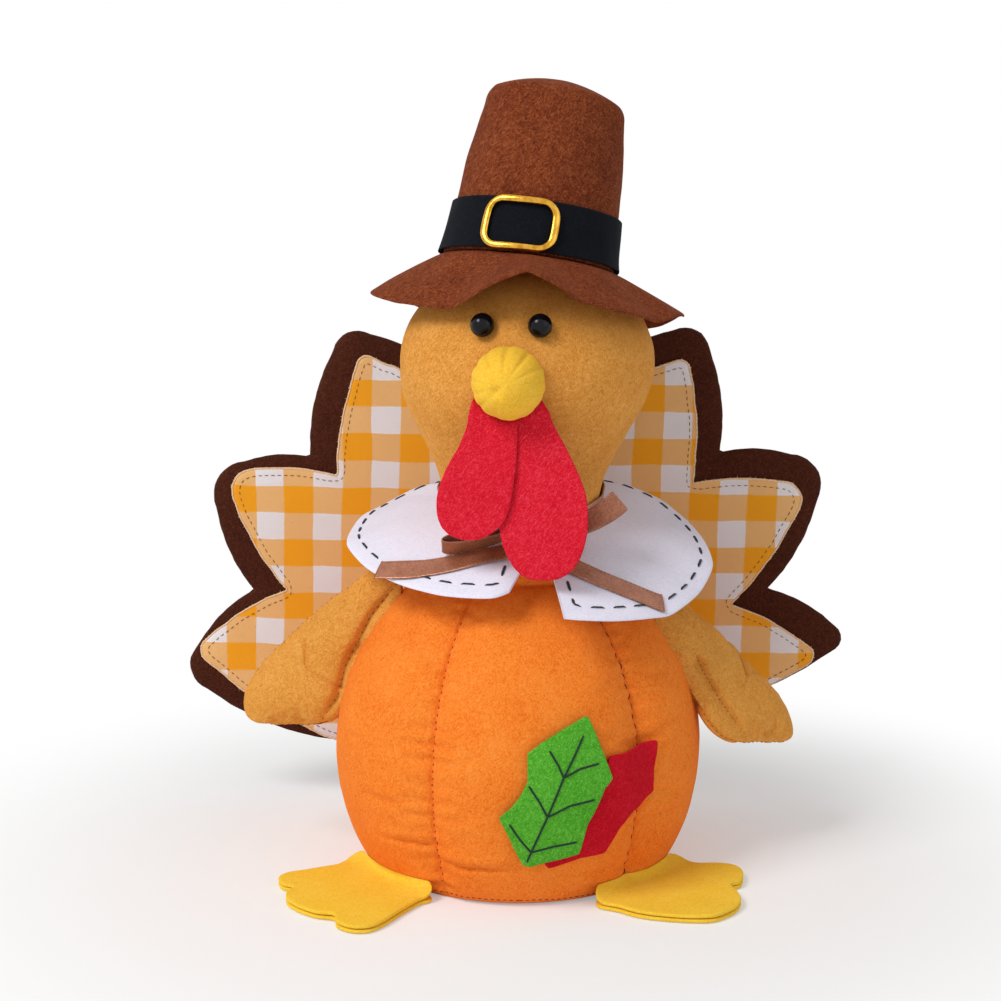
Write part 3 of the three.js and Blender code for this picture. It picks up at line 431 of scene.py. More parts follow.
# Share of the lowest row's reach and the height of the rows that turn in under it; radius and height
# of the rows of the gathered roll round the neck hole.
UNDER_ROWS = [(0.9, FELT), (0.955, 0.35), (0.985, 0.1)]
NECK_ROLL = [(29.6, 0.9), (29.8, 2.6), (29.5, 4.2), (28.9, 4.6), (28.4, 4.0), (28.2, 1.4), (27.6, 0.1),
             (25, 0)]
neck_base = body_side(1)[1] + 0.3
body_rings = [[Vector((p.x * f, p.y * f, z)) for p in body_corners[:around_body]] for f, z in UNDER_ROWS]
body_rings += [body_corners[r * around_body:(r + 1) * around_body] for r in range(round(body_rows * 0.985))]
for radius, lift in NECK_ROLL:
    ring = []
    for azimuth in body_turns:
        gather = 0.3 * math.sin(math.radians(azimuth) * 34 + 2 * noise.noise(around(azimuth, 2, 0)))
        ring.append(around(azimuth, radius + (gather if lift > 0.5 else 0), neck_base + lift - 0.2))
    body_rings.append(ring)
corners, faces = lofted(body_rings, start_cap=False)
body_cover = sewn("body_cover", corners, faces, body_plush, "body", "body_fabric", rounds=0)
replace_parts(body_cover, "body_stuffing", "gore_front", "gore_front_right", "gore_back_right",
            "gore_back_left", "gore_front_left")
body_tree = BVHTree.FromPolygons(corners, faces)


def on_body(azimuth, height, lift=0.0):
    """Where a line from outside, aimed at the body's middle, meets its cover, and the way out."""
    start = around(azimuth, 2 * BODY_RADIUS, height)
    hit, normal, _, _ = body_tree.ray_cast(start, around(azimuth, -1, 0).normalized())
    if hit is None:
        hit = around(azimuth, BODY_RADIUS, height)
    out = Vector((hit.x, hit.y, 0)).normalized()
    normal = out if normal is None else (normal if normal.dot(out) > 0 else -normal)
    return hit + out * lift, normal


# Base: a round panel of the same plush closes the cover below. A card disc and a small cloth bag of
# sand lie inside on it and hold the figure upright; they and the panel keep their plain shapes.
def plain_cloth(name, shade, light, thread, depth):
    """Plain weave: threads over and under in two directions."""
    made, tree, place = blank_material(name)
    axes = part_of(tree, "ShaderNodeSeparateXYZ", Vector=place).outputs
    turns = 2 * math.pi / (thread * mm)
    warp = sums(tree, "SINE", sums(tree, "MULTIPLY", axes[0], turns))
    weft = sums(tree, "SINE", sums(tree, "MULTIPLY", sums(tree, "ADD", axes[1], axes[2]), turns))
    over = sums(tree, "MULTIPLY_ADD", sums(tree, "MULTIPLY", warp, weft), 0.5, 0.5)
    uneven = grains(tree, place, 300, 3.0)
    tone = sums(tree, "MULTIPLY_ADD", uneven, 0.6, sums(tree, "MULTIPLY", over, 0.4))
    surfaced(tree, toned(tree, tone, (0.2, shade), (0.75, light)), over, 0.6, depth,
             Roughness=0.9, Specular_IOR_Level=0.2, Sheen_Weight=0.1)
    return made


bag_cloth = plain_cloth("bag_cloth", (190, 175, 145), (222, 212, 186), 0.9, 0.08)
card_board = fibre_cloth("card_board", (150, 125, 92), (178, 152, 118), (196, 172, 138),
                         grain=0.8, sheen=0.0, depth=0.03, fleck=0.3, roughness=0.85)
for node, cloth in (("base_panel", body_plush), ("base_card", card_board), ("weight_bag", bag_cloth)):
    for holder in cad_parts[node].material_slots:
        holder.link, holder.material = "OBJECT", cloth

# Body stitching: the gores' seams show small stitches in a darker thread, pulled tight into the
# groove. Each stitch is a short rounded bit of thread.
def threads(name, runs, thick, cloth, body, slot, sides=6, flat=1.0):
    """Bits of thread, each along its own line of points with the way out at each point."""
    corners, faces = [], []
    for line, outs in runs:
        rings = []
        last = len(line) - 1
        for i, (p, out) in enumerate(zip(line, outs)):
            ahead = (Vector(line[min(last, i + 1)]) - Vector(line[max(0, i - 1)])).normalized()
            out = Vector(out).normalized()
            side = ahead.cross(out).normalized()
            taper = 0.55 if i in (0, last) else 1.0
            ring = []
            for k in range(sides):
                a = 2 * math.pi * k / sides
                ring.append(Vector(p) + taper * thick / 2 * (side * math.cos(a) + out * flat * math.sin(a)))
            rings.append(ring)
        made_corners, made_faces = lofted(rings)
        base = len(corners)
        corners += made_corners
        faces += [tuple(base + i for i in face) for face in made_faces]
    return sewn(name, corners, faces, cloth, body, slot, rounds=0)


def spun(name, shade, light, roughness=0.7):
    """Sewing thread: plies that wind round it, a little shiny."""
    made, tree, place = blank_material(name)
    plies = grains(tree, place, 2600 / 0.9, Distortion=0.8)
    surfaced(tree, toned(tree, plies, (0.3, shade), (0.7, light)), plies, 0.5, 0.06,
             Roughness=roughness, Specular_IOR_Level=0.3, Sheen_Weight=0.15)
    return made


# Length and gap of the stitches: the front seam on the right has long dark ones, the other seams
# have short pale ones.
DARK_STITCH, PALE_STITCH, SEAM_BOTTOM, SEAM_TOP = (2.3, 0.9), (1.0, 1.3), 6.0, 93
dark_runs, pale_runs = [], []
for azimuth in seam_turns:
    dark = 0 < azimuth < 90
    length, gap = DARK_STITCH if dark else PALE_STITCH
    height = SEAM_BOTTOM
    while height < SEAM_TOP:
        uneven = wander(azimuth, height / 3)
        stitch = [on_body(azimuth + 0.35 * uneven, height + length * (1 + 0.3 * uneven) * k / 3, lift)
                  for k, lift in enumerate((-0.2, 0.1, 0.1, -0.2))]
        (dark_runs if dark else pale_runs).append(tuple(zip(*stitch)))
        height += length + gap * (1 + 0.4 * uneven)
for azimuth in np.arange(0, 360, 2.3):
    stitch = [on_body(azimuth + step, 2.2 + 0.3 * wander(azimuth / 9), lift)
              for step, lift in ((0, -0.15), (0.5, 0.08), (1.1, 0.08), (1.6, -0.15))]
    pale_runs.append(tuple(zip(*stitch)))
threads("body_seam_stitches", dark_runs, 0.5, spun("dark_thread", (64, 22, 8), (110, 42, 14)),
        "body", "body_fabric")
threads("body_stitches", pale_runs, 0.42, spun("seam_thread", (112, 42, 10), (176, 72, 20)),
        "body", "body_fabric")

# Head cover: tan plush over a firm filling, widest at the cheeks and drawn in to a thick neck, where
# small gathers run down under the ribbon. A seam closes it down the back.
HEAD_RADIUS, HEAD_LIFT, HEAD_RISE, NECK_TAPER, HEAD_SHIFT = 43.8, 70.5, 38, 46.5, 3
head_height = neck_base + HEAD_LIFT


def head_radius(height):
    up = height - head_height
    if up > 0:
        return HEAD_RADIUS * math.sqrt(max(0, 1 - (up / HEAD_RISE) ** 2))
    narrowed = min(1, -up / NECK_TAPER)
    return NECK_RADIUS + (HEAD_RADIUS - NECK_RADIUS) * (1 + math.cos(math.pi * narrowed)) / 2


def head_shift(height):
    return HEAD_SHIFT * within((height - neck_base) / HEAD_LIFT)


def head_point(azimuth, height, lift=0.0):
    p = around(azimuth, head_radius(height) + lift, height)
    p.x += head_shift(height)
    return p


head_plush = fibre_cloth("head_plush", (192, 122, 44), (220, 148, 62), (238, 178, 96),
                         grain=1.0, sheen=0.3, depth=0.2, fleck=0.55, mottle=0.16, strands=0.2)
FACE_TURN, EYE_RADIUS, EYE_SPREAD, EYE_UP, EYE_OUT = -8, 4, 9, 16, 1.8
face_turn = Matrix.Rotation(math.radians(FACE_TURN), 3, "Z")


def on_face(point):
    """From the face's own frame, looking along -Y from the middle of the head."""
    return face_turn @ Vector(point) + Vector((HEAD_SHIFT, 0, head_height))


def eye_seat(side):
    x = side * EYE_SPREAD
    return Vector((x, -math.sqrt(head_radius(head_height + EYE_UP) ** 2 - x ** 2), EYE_UP))


eye_seats = [on_face(eye_seat(side)) for side in (-1, 1)]
HEAD_COLUMNS, HEAD_ROWS, DOME_ROWS = 200, 44, 36
levels = [neck_base + HEAD_LIFT * i / HEAD_ROWS for i in range(HEAD_ROWS)]
levels += [head_height + HEAD_RISE * math.sin(math.pi / 2 * i / DOME_ROWS) for i in range(DOME_ROWS)]
head_rings = []
for height in levels:
    ring = []
    narrow = within((neck_base + 40 - height) / 26)
    for i in range(HEAD_COLUMNS):
        azimuth = 360 * i / HEAD_COLUMNS
        p = head_point(azimuth, height)
        out = Vector((p.x - head_shift(height), p.y, 0)).normalized()
        gather = 0.45 * narrow * math.sin(math.radians(azimuth) * 21 + 2.5 * noise.noise(p / 14))
        seam = 0.8 * bell(azimuth - 180, 2.2)
        soft = 0.55 * noise.noise(p / 17) + 0.2 * noise.noise(p / 6)
        dimple = sum(1.3 * bell((p - seat).length, 4.9, 4) for seat in eye_seats)
        ring.append(p + out * (gather + soft - seam - dimple - 0.25))
    head_rings.append(ring)
head_cover = sewn("head_cover_plush", *lofted(head_rings), head_plush, "body", "head_fabric", rounds=0)
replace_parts(head_cover, "head_cover", "head_stuffing")
head_thread = spun("head_thread", (120, 74, 28), (168, 112, 50))
back_runs = []
for height in np.arange(neck_base + 24, head_height + 22, 2.6):
    line = [head_point(180, height + 1.6 * k / 3, lift) for k, lift in enumerate((-1, -0.75, -0.75, -1))]
    back_runs.append((line, [Vector((0, 1, 0))] * 4))
threads("head_back_stitches", back_runs, 0.5, head_thread, "body", "head_fabric")

# Eyes: two round black beads with a shank, pushed through the plush side by side under the brim.
bead, tree, place = blank_material("black_bead")
dust = grains(tree, place, 900, 3.0)
surfaced(tree, toned(tree, dust, (0.35, (6, 6, 9)), (0.8, (18, 18, 24))), dust, 0.15, 0.03,
         Roughness=spread(tree, dust, 0, 1, 0.08, 0.2), Specular_IOR_Level=0.16, Coat_Weight=0.08,
         Coat_Roughness=0.05)
EYE_COLUMNS, SHANK_SEAT, BEAD_START, BEAD_STEP = 28, (2.6, 0.15), -0.45, (math.pi / 2 + 0.42) / 10.3
bead_profile = [SHANK_SEAT]
for i in range(11):
    a = BEAD_START + BEAD_STEP * i
    bead_profile.append((EYE_RADIUS * math.cos(a), EYE_OUT + EYE_RADIUS * math.sin(a)))
for name, side in (("left", -1), ("right", 1)):
    seat = eye_seat(side)
    way = Vector((seat.x, seat.y, seat.z * (HEAD_RADIUS / HEAD_RISE) ** 2)).normalized()
    turn = way.to_track_quat("Z", "Y").to_matrix()
    rings = [[on_face(seat + turn @ around(360 * i / EYE_COLUMNS + 90, r, z)) for i in range(EYE_COLUMNS)]
             for r, z in bead_profile]
    piece = sewn(name + "_bead_eye", *lofted(rings), bead, "body", "eye_bead")
    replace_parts(piece, name + "_eye")

# Beak: a circle of yellow felt gathered over a ball of filling and glued to the face. The gathers
# fan out from the rim, and one small stitch is pulled in near the middle.
BEAK_RADIUS, BEAK_LENGTH, BEAK_DROP, WATTLE_FELT = 12, 14, 1, 1.3
wattle_back = HEAD_RADIUS + 0.3
beak_back = wattle_back + WATTLE_FELT + 0.3
beak_felt = fibre_cloth("beak_felt", (230, 164, 36), (246, 194, 56), (254, 216, 98),
                        grain=1.2, sheen=0.25, depth=0.14, fleck=0.35, mottle=0.1, strands=0.12)
BEAK_ROWS, BEAK_COLUMNS, BEAK_FOLDS, PINCH_X, PINCH_Z = 17, 144, 6.5, -2.2, -2.6
beak_rings = []
for i in range(BEAK_ROWS):
    a = math.radians(-9 + 99 * i / BEAK_ROWS)
    if a > 0:
        radius, out = BEAK_RADIUS * math.cos(a), BEAK_LENGTH * math.sin(a) + 0.1
    else:
        radius, out = BEAK_RADIUS * (1 + a * 0.9), 0.02
    ring = []
    for k in range(BEAK_COLUMNS):
        turn = 2 * math.pi * k / BEAK_COLUMNS
        fold = math.sin(turn * BEAK_FOLDS + 0.9 * math.sin(2 * turn) + 0.8) ** 8
        depth = (0.55 + 0.95 * max(0, math.sin(turn))) * fold
        depth *= math.cos(a) ** 1.5 * math.sin(max(0, a)) ** 0.4
        lump = 0.25 * wander(3 * math.cos(turn), 3 * math.sin(turn), out / 5)
        r = radius - depth + lump * math.cos(a)
        p = Vector((r * math.cos(turn), -out, r * math.sin(turn) - BEAK_DROP))
        p.y += 1.5 * math.exp(-((p.x - PINCH_X) ** 2 + (p.z - PINCH_Z) ** 2) / 3.0)
        ring.append(on_face(p - Vector((0, beak_back, 0))))
    beak_rings.append(ring)
beak_ball = sewn("beak_ball", *lofted(beak_rings), beak_felt, "body", "yellow_felt")
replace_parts(beak_ball, "beak_cover", "beak_stuffing")

# Wattles: red felt with slightly furry edges, glued to the face under the beak. The long lobe and
# its root are one cut that bends where it leaves the beak; the short lobe hangs in front of it from
# its own top.
def closed_curve(points, steps):
    """A smooth closed line through flat points, in equal numbers of steps. A point that is given
    twice is a sharp corner."""
    line = []
    n = len(points)
    for i in range(n):
        four = [Vector(points[(i + k) % n]) for k in (-1, 0, 1, 2)]
        if (four[2] - four[1]).length > 0.001:
            line += [through(*four, s / steps) for s in range(steps)]
    return line


def even(line, count, closed=True):
    """The same line in equal steps."""
    points = [Vector(p) for p in line] + ([Vector(line[0])] if closed else [])
    run = [0.0]
    for a, b in zip(points, points[1:]):
        run.append(run[-1] + (b - a).length)
    wanted = np.linspace(0, run[-1], count + (1 if closed else 0))
    spots = [np.interp(wanted, run, [p[k] for p in points]) for k in range(len(points[0]))]
    made = [Vector(p) for p in zip(*spots)]
    return made[:-1] if closed else made


def felt_cut(outline, centre, thick, shape, ragged=0.12, rounding=0.38, inner=(0.25, 0.5, 0.72, 0.88)):
    """A flat cut of felt with soft edges; shape puts each flat point and its height through the felt."""
    centre = Vector(centre)
    edge = []
    for p in outline:
        away = (p - centre).normalized()
        edge.append(p + away * ragged * wander(p.x / 1.7, p.y / 1.7, thick))

    def ring(share, height, drawn=0.0):
        arms = [p - centre for p in edge]
        return [shape(centre + arm * share - arm.normalized() * drawn, height) for arm in arms]
    rings = [ring(s, 0.0) for s in inner]
    rings += [ring(1, 0.0, rounding), ring(1, rounding * 0.6), ring(1, thick - rounding * 0.6)]
    rings += [ring(1, thick, rounding)] + [ring(s, thick) for s in reversed(inner)]
    return lofted(rings)


wattle_felt = fibre_cloth("wattle_felt", (188, 14, 36), (216, 24, 46), (232, 66, 84),
                          grain=0.9, sheen=0.25, depth=0.16, fleck=0.4, mottle=0.1, strands=0.22)
WATTLE_SLOPE, HINGE_DROP = 6.5, 15.25
wattle_turn = Matrix.Rotation(math.radians(-WATTLE_SLOPE), 3, "X")
LONG_WATTLE = [(14, 1.5), (20.2, -9.9), (25.2, -21.8), (25.8, -33.7), (23.2, -43), (18.5, -48),
               (12, -49.5), (4.8, -48), (-0.6, -40.6), (-2.8, -30.7), (-2.8, -14.9), (-3.2, -7), (-5, -3),
               (-10.8, -0.6), (-11.7, 2), (-9.9, 9.5), (-6.8, 15.9), (6.8, 15.9), (9.5, 10.2), (13.2, 4.5)]
SHORT_WATTLE = [(2.9, -3), (2.8, -0.05), (2.8, -0.05), (-13.4, -0.05), (-13.4, -0.05), (-14.4, -3),
                (-16.3, -7.4), (-20.5, -15.2), (-22.9, -23.7), (-22.1, -31.1), (-18.7, -35.2),
                (-13, -37), (-7.3, -35.9), (-1.6, -31.5), (1, -24.8), (2.6, -11.8)]
SHORT_TOP = [(2.8, 0), (2.8, 0), (2.8, 3.2), (-2, 5), (-6, 8), (-10, 10.6), (-11.6, 8.5), (-12.7, 4.5),
             (-13.4, 0), (-13.4, 0)]
beak_middle = Vector((0, HINGE_DROP - BEAK_DROP))


def hanging(layer, side=0):
    """Puts a flat point of a wattle where it hangs; what lies under the beak is pressed thin. The
    front lobe (side -1) meets its own top (side 1) at the bend, with room behind for the bend."""
    def shape(q, height):
        free = within(((Vector((q.x, q.y)) - beak_middle).length - BEAK_RADIUS) / 1.4)
        open_felt = layer * (WATTLE_FELT + 0.3) + height
        pressed = layer * 0.78 + height * 0.55
        forward = pressed + (open_felt - pressed) * free
        if side and abs(q.y) < 0.35:
            q = Vector((q.x, 0.0 if height > WATTLE_FELT / 2 else 0.5 * side))
        if q.y > 0:
            return on_face(Vector((q.x, -wattle_back - forward, q.y - HINGE_DROP)))
        wave = 0.35 * wander(q.x / 13, q.y / 13, layer * 7) * min(1, -q.y / 6)
        p = wattle_turn @ Vector((q.x, -(forward + wave), q.y))
        return on_face(p + Vector((0, -wattle_back, -HINGE_DROP)))
    return shape


def flat_cut(line):
    """Works out the flat area of a piece from its closed line; nothing uses it."""
    area = abs(sum(a[0] * b[1] - b[0] * a[1] for a, b in zip(line, list(line[1:]) + [line[0]]))) / 2


CLOSE_STEPS, SHARP = (0.1, 0.2, 0.32, 0.44, 0.56, 0.68, 0.8, 0.9), math.radians(50)
line = even(closed_curve(LONG_WATTLE, 8), 180)
cut = felt_cut(line, (6, 2), WATTLE_FELT, hanging(0), inner=CLOSE_STEPS)
piece = sewn("long_wattle_felt", *cut, wattle_felt, None, "red_felt")
flat_cut(line)
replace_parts(piece, "long_wattle", "wattle_root")
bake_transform(piece)
line = even(closed_curve(SHORT_WATTLE, 8), 260)
cut = felt_cut(line, (-9.5, -18), WATTLE_FELT, hanging(1, -1), rounding=0.25)
piece = sewn("short_wattle_felt", *cut, wattle_felt, "short_wattle", "red_felt", rounds=0)
piece.data.set_sharp_from_angle(angle=SHARP)
flat_cut(line)
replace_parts(piece, "short_wattle")
line = even(closed_curve(SHORT_TOP, 8), 180)
cut = felt_cut(line, (-6.5, 3.6), WATTLE_FELT, hanging(1, 1), ragged=0.05, rounding=0.15)
piece = sewn("short_wattle_top", *cut, wattle_felt, None, "red_felt", rounds=0)
piece.data.set_sharp_from_angle(angle=SHARP)
flat_cut(line)
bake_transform(piece)

# Collar: one piece of white felt laid round the neck and open in front, with a running stitch in
# black thread a few millimetres inside its edge. It stands a little proud of the body and the wings.
COLLAR_REACH, COLLAR_DROP, COLLAR_HEIGHT, COLLAR_TILT, COLLAR_ARCH = 60, 25, 19, 5.5, 1.5
COLLAR_SLANT, SLANT_FROM = 13, 338
# azimuth, and the outer edge's reach and drop as shares of the collar's
COLLAR_EDGE = [
    (14, 0.99, 0.76), (17, 0.99, 0.79), (37, 1.02, 0.9), (52, 1.05, 0.98), (70, 1.09, 0.86),
    (82, 1.13, 0.64), (94, 1.1, 0.5), (108, 1.06, 0.33), (119, 1, 0.14), (130, 0.9, 0.02),
    (145, 0.84, 0), (180, 0.78, 0), (215, 0.74, 0), (226, 0.83, 0.03), (238, 0.94, 0.22),
    (252, 0.97, 0.27), (265, 0.98, 0.34), (280, 0.99, 0.36), (300, 0.93, 0.51), (315, 0.875, 0.58),
    (330, 0.87, 0.59), (351, 0.86, 0.55), (356, 0.8, 0.5)]
collar_first, collar_last = COLLAR_EDGE[0][0], COLLAR_EDGE[-1][0]
fine = np.arange(collar_first, collar_last + 0.01, 0.5)


def eased(column):
    """The edge's measure in half-degree steps, its corners softened as scissors leave them."""
    values = np.interp(fine, [row[0] for row in COLLAR_EDGE], [row[column] for row in COLLAR_EDGE])
    soft = values.copy()
    for i in range(len(values)):
        span = min(5, i, len(values) - 1 - i)
        soft[i] = values[i - span:i + span + 1].mean()
    return soft


collar_reach, collar_drop = eased(1), eased(2)


def collar_neck(azimuth):
    return neck_base + COLLAR_HEIGHT - COLLAR_TILT * math.cos(math.radians(azimuth))


def collar_point(azimuth, share, lift=0.0):
    turn = min(collar_last, max(collar_first, azimuth if azimuth >= collar_first else azimuth + 360))
    neck = collar_neck(turn)
    inner = head_radius(neck + FELT) + 0.5
    reach = float(np.interp(turn, fine, collar_reach)) * COLLAR_REACH
    drop = float(np.interp(turn, fine, collar_drop)) * COLLAR_DROP
    height = neck - drop * share + COLLAR_ARCH * math.sin(math.pi * share) + lift
    slant = COLLAR_SLANT * (1 - share) * max(0.0, (turn - SLANT_FROM) / (collar_last - SLANT_FROM))
    p = around(azimuth + slant, inner + (reach - inner) * share, height)
    p.x += head_shift(neck) * (1 - share)
    p.z += 0.45 * share * wander(p.x / 16, p.y / 16, 3)
    return p


def flat_strip(rings):
    """Corners and faces through rings that each run over one side of a thin strip and back along
    the other, with the strip's two ends closed."""
    corners, faces = lofted(rings, False, False)
    n = len(rings[0]) // 2
    for ring, turn in ((0, 1), (len(rings) - 1, -1)):
        base = ring * 2 * n
        for s in range(n - 1):
            faces.append((base + s, base + s + 1, base + 2 * n - 2 - s, base + 2 * n - 1 - s)[::turn])
    return corners, faces


collar_felt = fibre_cloth("collar_felt", (222, 221, 240), (235, 233, 250), (245, 244, 255),
                          grain=0.9, sheen=0.2, depth=0.1, fleck=0.35, mottle=0.08, strands=0.15)
COLLAR_FLAT, SOFT_EDGE = (0.150, 0.135), 0.3
stations = [0, 0.02, 0.1, 0.25, 0.42, 0.58, 0.74, 0.88, 0.96, 0.985, 1]
collar_turns = [collar_first, collar_first + 0.6, *np.linspace(collar_first + 2, collar_last - 2, 200),
                collar_last - 0.6, collar_last]
collar_rings = []
for azimuth in collar_turns:
    under = [collar_point(azimuth, s, 0.0 if s < 1 else SOFT_EDGE) for s in stations]
    over = [collar_point(azimuth, s, FELT if s < 1 else FELT - SOFT_EDGE) for s in reversed(stations)]
    collar_rings.append(under + over)
collar = sewn("collar_sheet", *flat_strip(collar_rings), collar_felt, "body", "white_felt")
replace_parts(collar, "collar")

black_thread = spun("black_thread", (16, 16, 20), (48, 48, 56))
STITCH, STITCH_GAP, STITCH_INSET = 4.9, 3.2, 4.4


def front_edge(azimuth, inward, start, end):
    """Along one front edge of the collar, set in from it, as azimuths and shares."""
    return [(azimuth + inward * math.degrees(STITCH_INSET / collar_point(azimuth, s).xy.length), s)
            for s in np.linspace(start, end, 12)]


def inset_share(azimuth):
    return 1 - STITCH_INSET / (collar_point(azimuth, 1) - collar_point(azimuth, 0)).length


start_turn = collar_first + math.degrees(STITCH_INSET / 50) + 2.5
end_turn = collar_last - math.degrees(STITCH_INSET / 45) - 2.5
path = front_edge(collar_first, 1, 0.34, 0.86)
path += [(azimuth, inset_share(azimuth)) for azimuth in np.linspace(start_turn, end_turn, 160)]
path += front_edge(collar_last, -1, 0.82, 0.34)
path_points = [collar_point(a, s, FELT) for a, s in path]
run = [0.0]
for a, b in zip(path_points, path_points[1:]):
    run.append(run[-1] + (b - a).length)


def along_collar(distance):
    azimuth, share = (float(np.interp(distance, run, [p[k] for p in path])) for k in (0, 1))
    return collar_point(azimuth, share, FELT)


collar_runs = []
distance = 1.0
while distance + STITCH < run[-1]:
    length = STITCH * (1 + 0.12 * wander(len(collar_runs) * 1.7))
    line = [along_collar(distance + length * k / 5) + Vector((0, 0, 0.18 if 0 < k < 5 else -0.15))
            for k in range(6)]
    collar_runs.append((line, [Vector((0, 0, 1))] * 6))
    distance += length + STITCH_GAP
threads("collar_running_stitch", collar_runs, 1.0, black_thread, "body", "white_felt", sides=8, flat=0.55)

# Ribbon: 8 mm copper satin tied round the neck over the collar, with a knot in front, two small
# flattened loops and two ends that lie out over the collar. A fine stitched edge runs down each side.
RIBBON_WIDTH, RIBBON_THICK = 8, 0.5


def satin(name, shade, light, gleam):
    """Satin: very fine ribs across the ribbon, a soft gleam along it, and patches of painted highlight."""
    made, tree, place = blank_material(name)
    ribs = grains(tree, place, 1500, Distortion=0.3)
    # Broad patches lift the ribbon towards its lighter colour, which is a painted highlight.
    wear_and_painted_gleam = grains(tree, place, 160, 3.0)
    tone = sums(tree, "MULTIPLY_ADD", ribs, 0.55, sums(tree, "MULTIPLY", wear_and_painted_gleam, 0.45))
    surfaced(tree, toned(tree, tone, (0.3, shade), (0.68, light)), ribs, 0.4, 0.06, Roughness=0.34,
             Metallic=0.35, Specular_IOR_Level=0.6, Anisotropic=0.6, Sheen_Weight=0.3,
             Sheen_Roughness=0.3, Sheen_Tint=paint(gleam))
    return made


# The ribbon's lighter colour is its painted satin highlight.
copper_satin = satin("copper_satin", (130, 73, 49), (186, 122, 90), (240, 198, 168))
edge_thread = spun("ribbon_thread", (104, 58, 38), (214, 164, 132))
EDGE_STITCH, EDGE_INSET = 1.5, 0.75


def ribbon_piece(name, lines, node):
    """A length of ribbon between lines of points that each run across it, with its stitched edges."""
    rings = []
    last = len(lines) - 1
    for i, line in enumerate(lines):
        ahead = lines[min(last, i + 1)][1] - lines[max(0, i - 1)][1]
        out = ahead.cross(line[-1] - line[0]).normalized() * RIBBON_THICK / 2
        rings.append([p + out for p in line] + [p - out for p in reversed(line)])
    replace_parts(sewn(name, *flat_strip(rings), copper_satin, "body", "ribbon"), node)
    runs = []
    n = len(lines[0])
    for edge, inner in ((0, 1), (2 * n - 1, 2 * n - 2), (n - 1, n - 2), (n, n + 1)):
        pairs = [(r[edge], r[inner] - r[edge]) for r in rings]
        line = [a + step * min(1, EDGE_INSET / max(0.01, step.length)) for a, step in pairs]
        ways = [r[edge] - r[2 * n - 1 - edge] for r in rings]
        length = sum((b - a).length for a, b in zip(line, line[1:]))
        count = max(3, int(length / EDGE_STITCH))
        dense = even(line, count * 2 + 1, closed=False)
        outs = even(ways, count * 2 + 1, closed=False)
        for k in range(0, count * 2, 2):
            w = outs[k].normalized() * 0.04
            runs.append(([dense[k] + w, (dense[k] + dense[k + 1]) / 2 + w * 2, dense[k + 1] + w],
                         [w, w, w]))
    threads(name + "_edges", runs, 0.38, edge_thread, "body", "ribbon", sides=5, flat=0.7)


across_steps = [-0.5, -0.38, -0.15, 0.15, 0.38, 0.5]
band_lines = []
for azimuth in np.linspace(0, 360, 97):
    base = collar_neck(azimuth) + FELT + 0.3 + RIBBON_WIDTH / 2
    line = []
    for s in across_steps:
        crease = 0.22 * math.sin(math.radians(azimuth) * 15 + 3 * s) + 0.12 * wander(azimuth / 9, s)
        line.append(head_point(azimuth, base + s * RIBBON_WIDTH, 0.85 + crease))
    band_lines.append(line)
ribbon_piece("neck_ribbon_band", band_lines, "neck_ribbon")

KNOT = Vector((2.992, -31.224, 122.474))
BOW_TURN, KNOT_WIDTH, KNOT_DEPTH, KNOT_ROWS, KNOT_COLUMNS = 4, 7, 5, 14, 28
knot_turn = Matrix.Rotation(math.radians(BOW_TURN), 3, "Z")
knot_rings = []
for i in range(KNOT_ROWS + 1):
    v = -1 + 2 * i / KNOT_ROWS
    round_off = (1 - abs(v) ** 3.2) ** 0.5 if abs(v) < 1 else 0.05
    ring = []
    for k in range(KNOT_COLUMNS):
        a = 2 * math.pi * k / KNOT_COLUMNS
        fold = 1 + 0.07 * math.sin(3 * a + 5 * v) + 0.05 * math.sin(7 * a - 3 * v)
        ring.append(KNOT + knot_turn @ Vector((
            KNOT_WIDTH / 2 * math.cos(a) * fold * (0.55 + 0.45 * round_off),
            KNOT_DEPTH / 2 * math.sin(a) * fold * (0.35 + 0.65 * round_off),
            v * RIBBON_WIDTH / 2)))
    knot_rings.append(ring)
knot = sewn("bow_knot_satin", *lofted(knot_rings), copper_satin, "body", "ribbon")
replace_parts(knot, "bow_knot")

# length, heading, tilt and roll in degrees, and how far the loop bends up along its length
LOOPS = {"left_loop": (25, 188, -9, 43, 0), "right_loop": (27.5, -4, -8, 74, 46)}
LOOP_RISE, LOOP_CUP = 5, 0.3
for name, (length, heading, tilt, roll, bend) in LOOPS.items():
    turn = (Matrix.Rotation(math.radians(heading), 3, "Z") @ Matrix.Rotation(math.radians(-tilt), 3, "Y")
            @ Matrix.Rotation(math.radians(roll), 3, "X"))
    lines = []
    for u in np.linspace(0.03, 0.97, 45):
        a = 2 * math.pi * u
        out = KNOT_WIDTH / 2 + 0.3 + length / 2 * (1 - math.cos(a))
        rise = LOOP_RISE / 2 * math.sin(a) * math.sqrt((1 - math.cos(a)) / 2)
        wide = RIBBON_WIDTH * (1 + math.sin(a / 2)) / 2
        line = []
        for s in across_steps:
            cup = LOOP_CUP * (1 - math.sin(a / 2)) * math.cos(s * math.pi)
            p = turn @ Vector((out, s * wide, rise + (cup if a < math.pi else -cup)))
            if bend:
                arc = length / math.radians(bend)
                up, turned = arc - p.z, p.x / arc
                p = Vector((up * math.sin(turned), p.y, arc - up * math.cos(turned)))
            line.append(KNOT + p)
        lines.append(line)
    ribbon_piece(name + "_satin", lines, name)

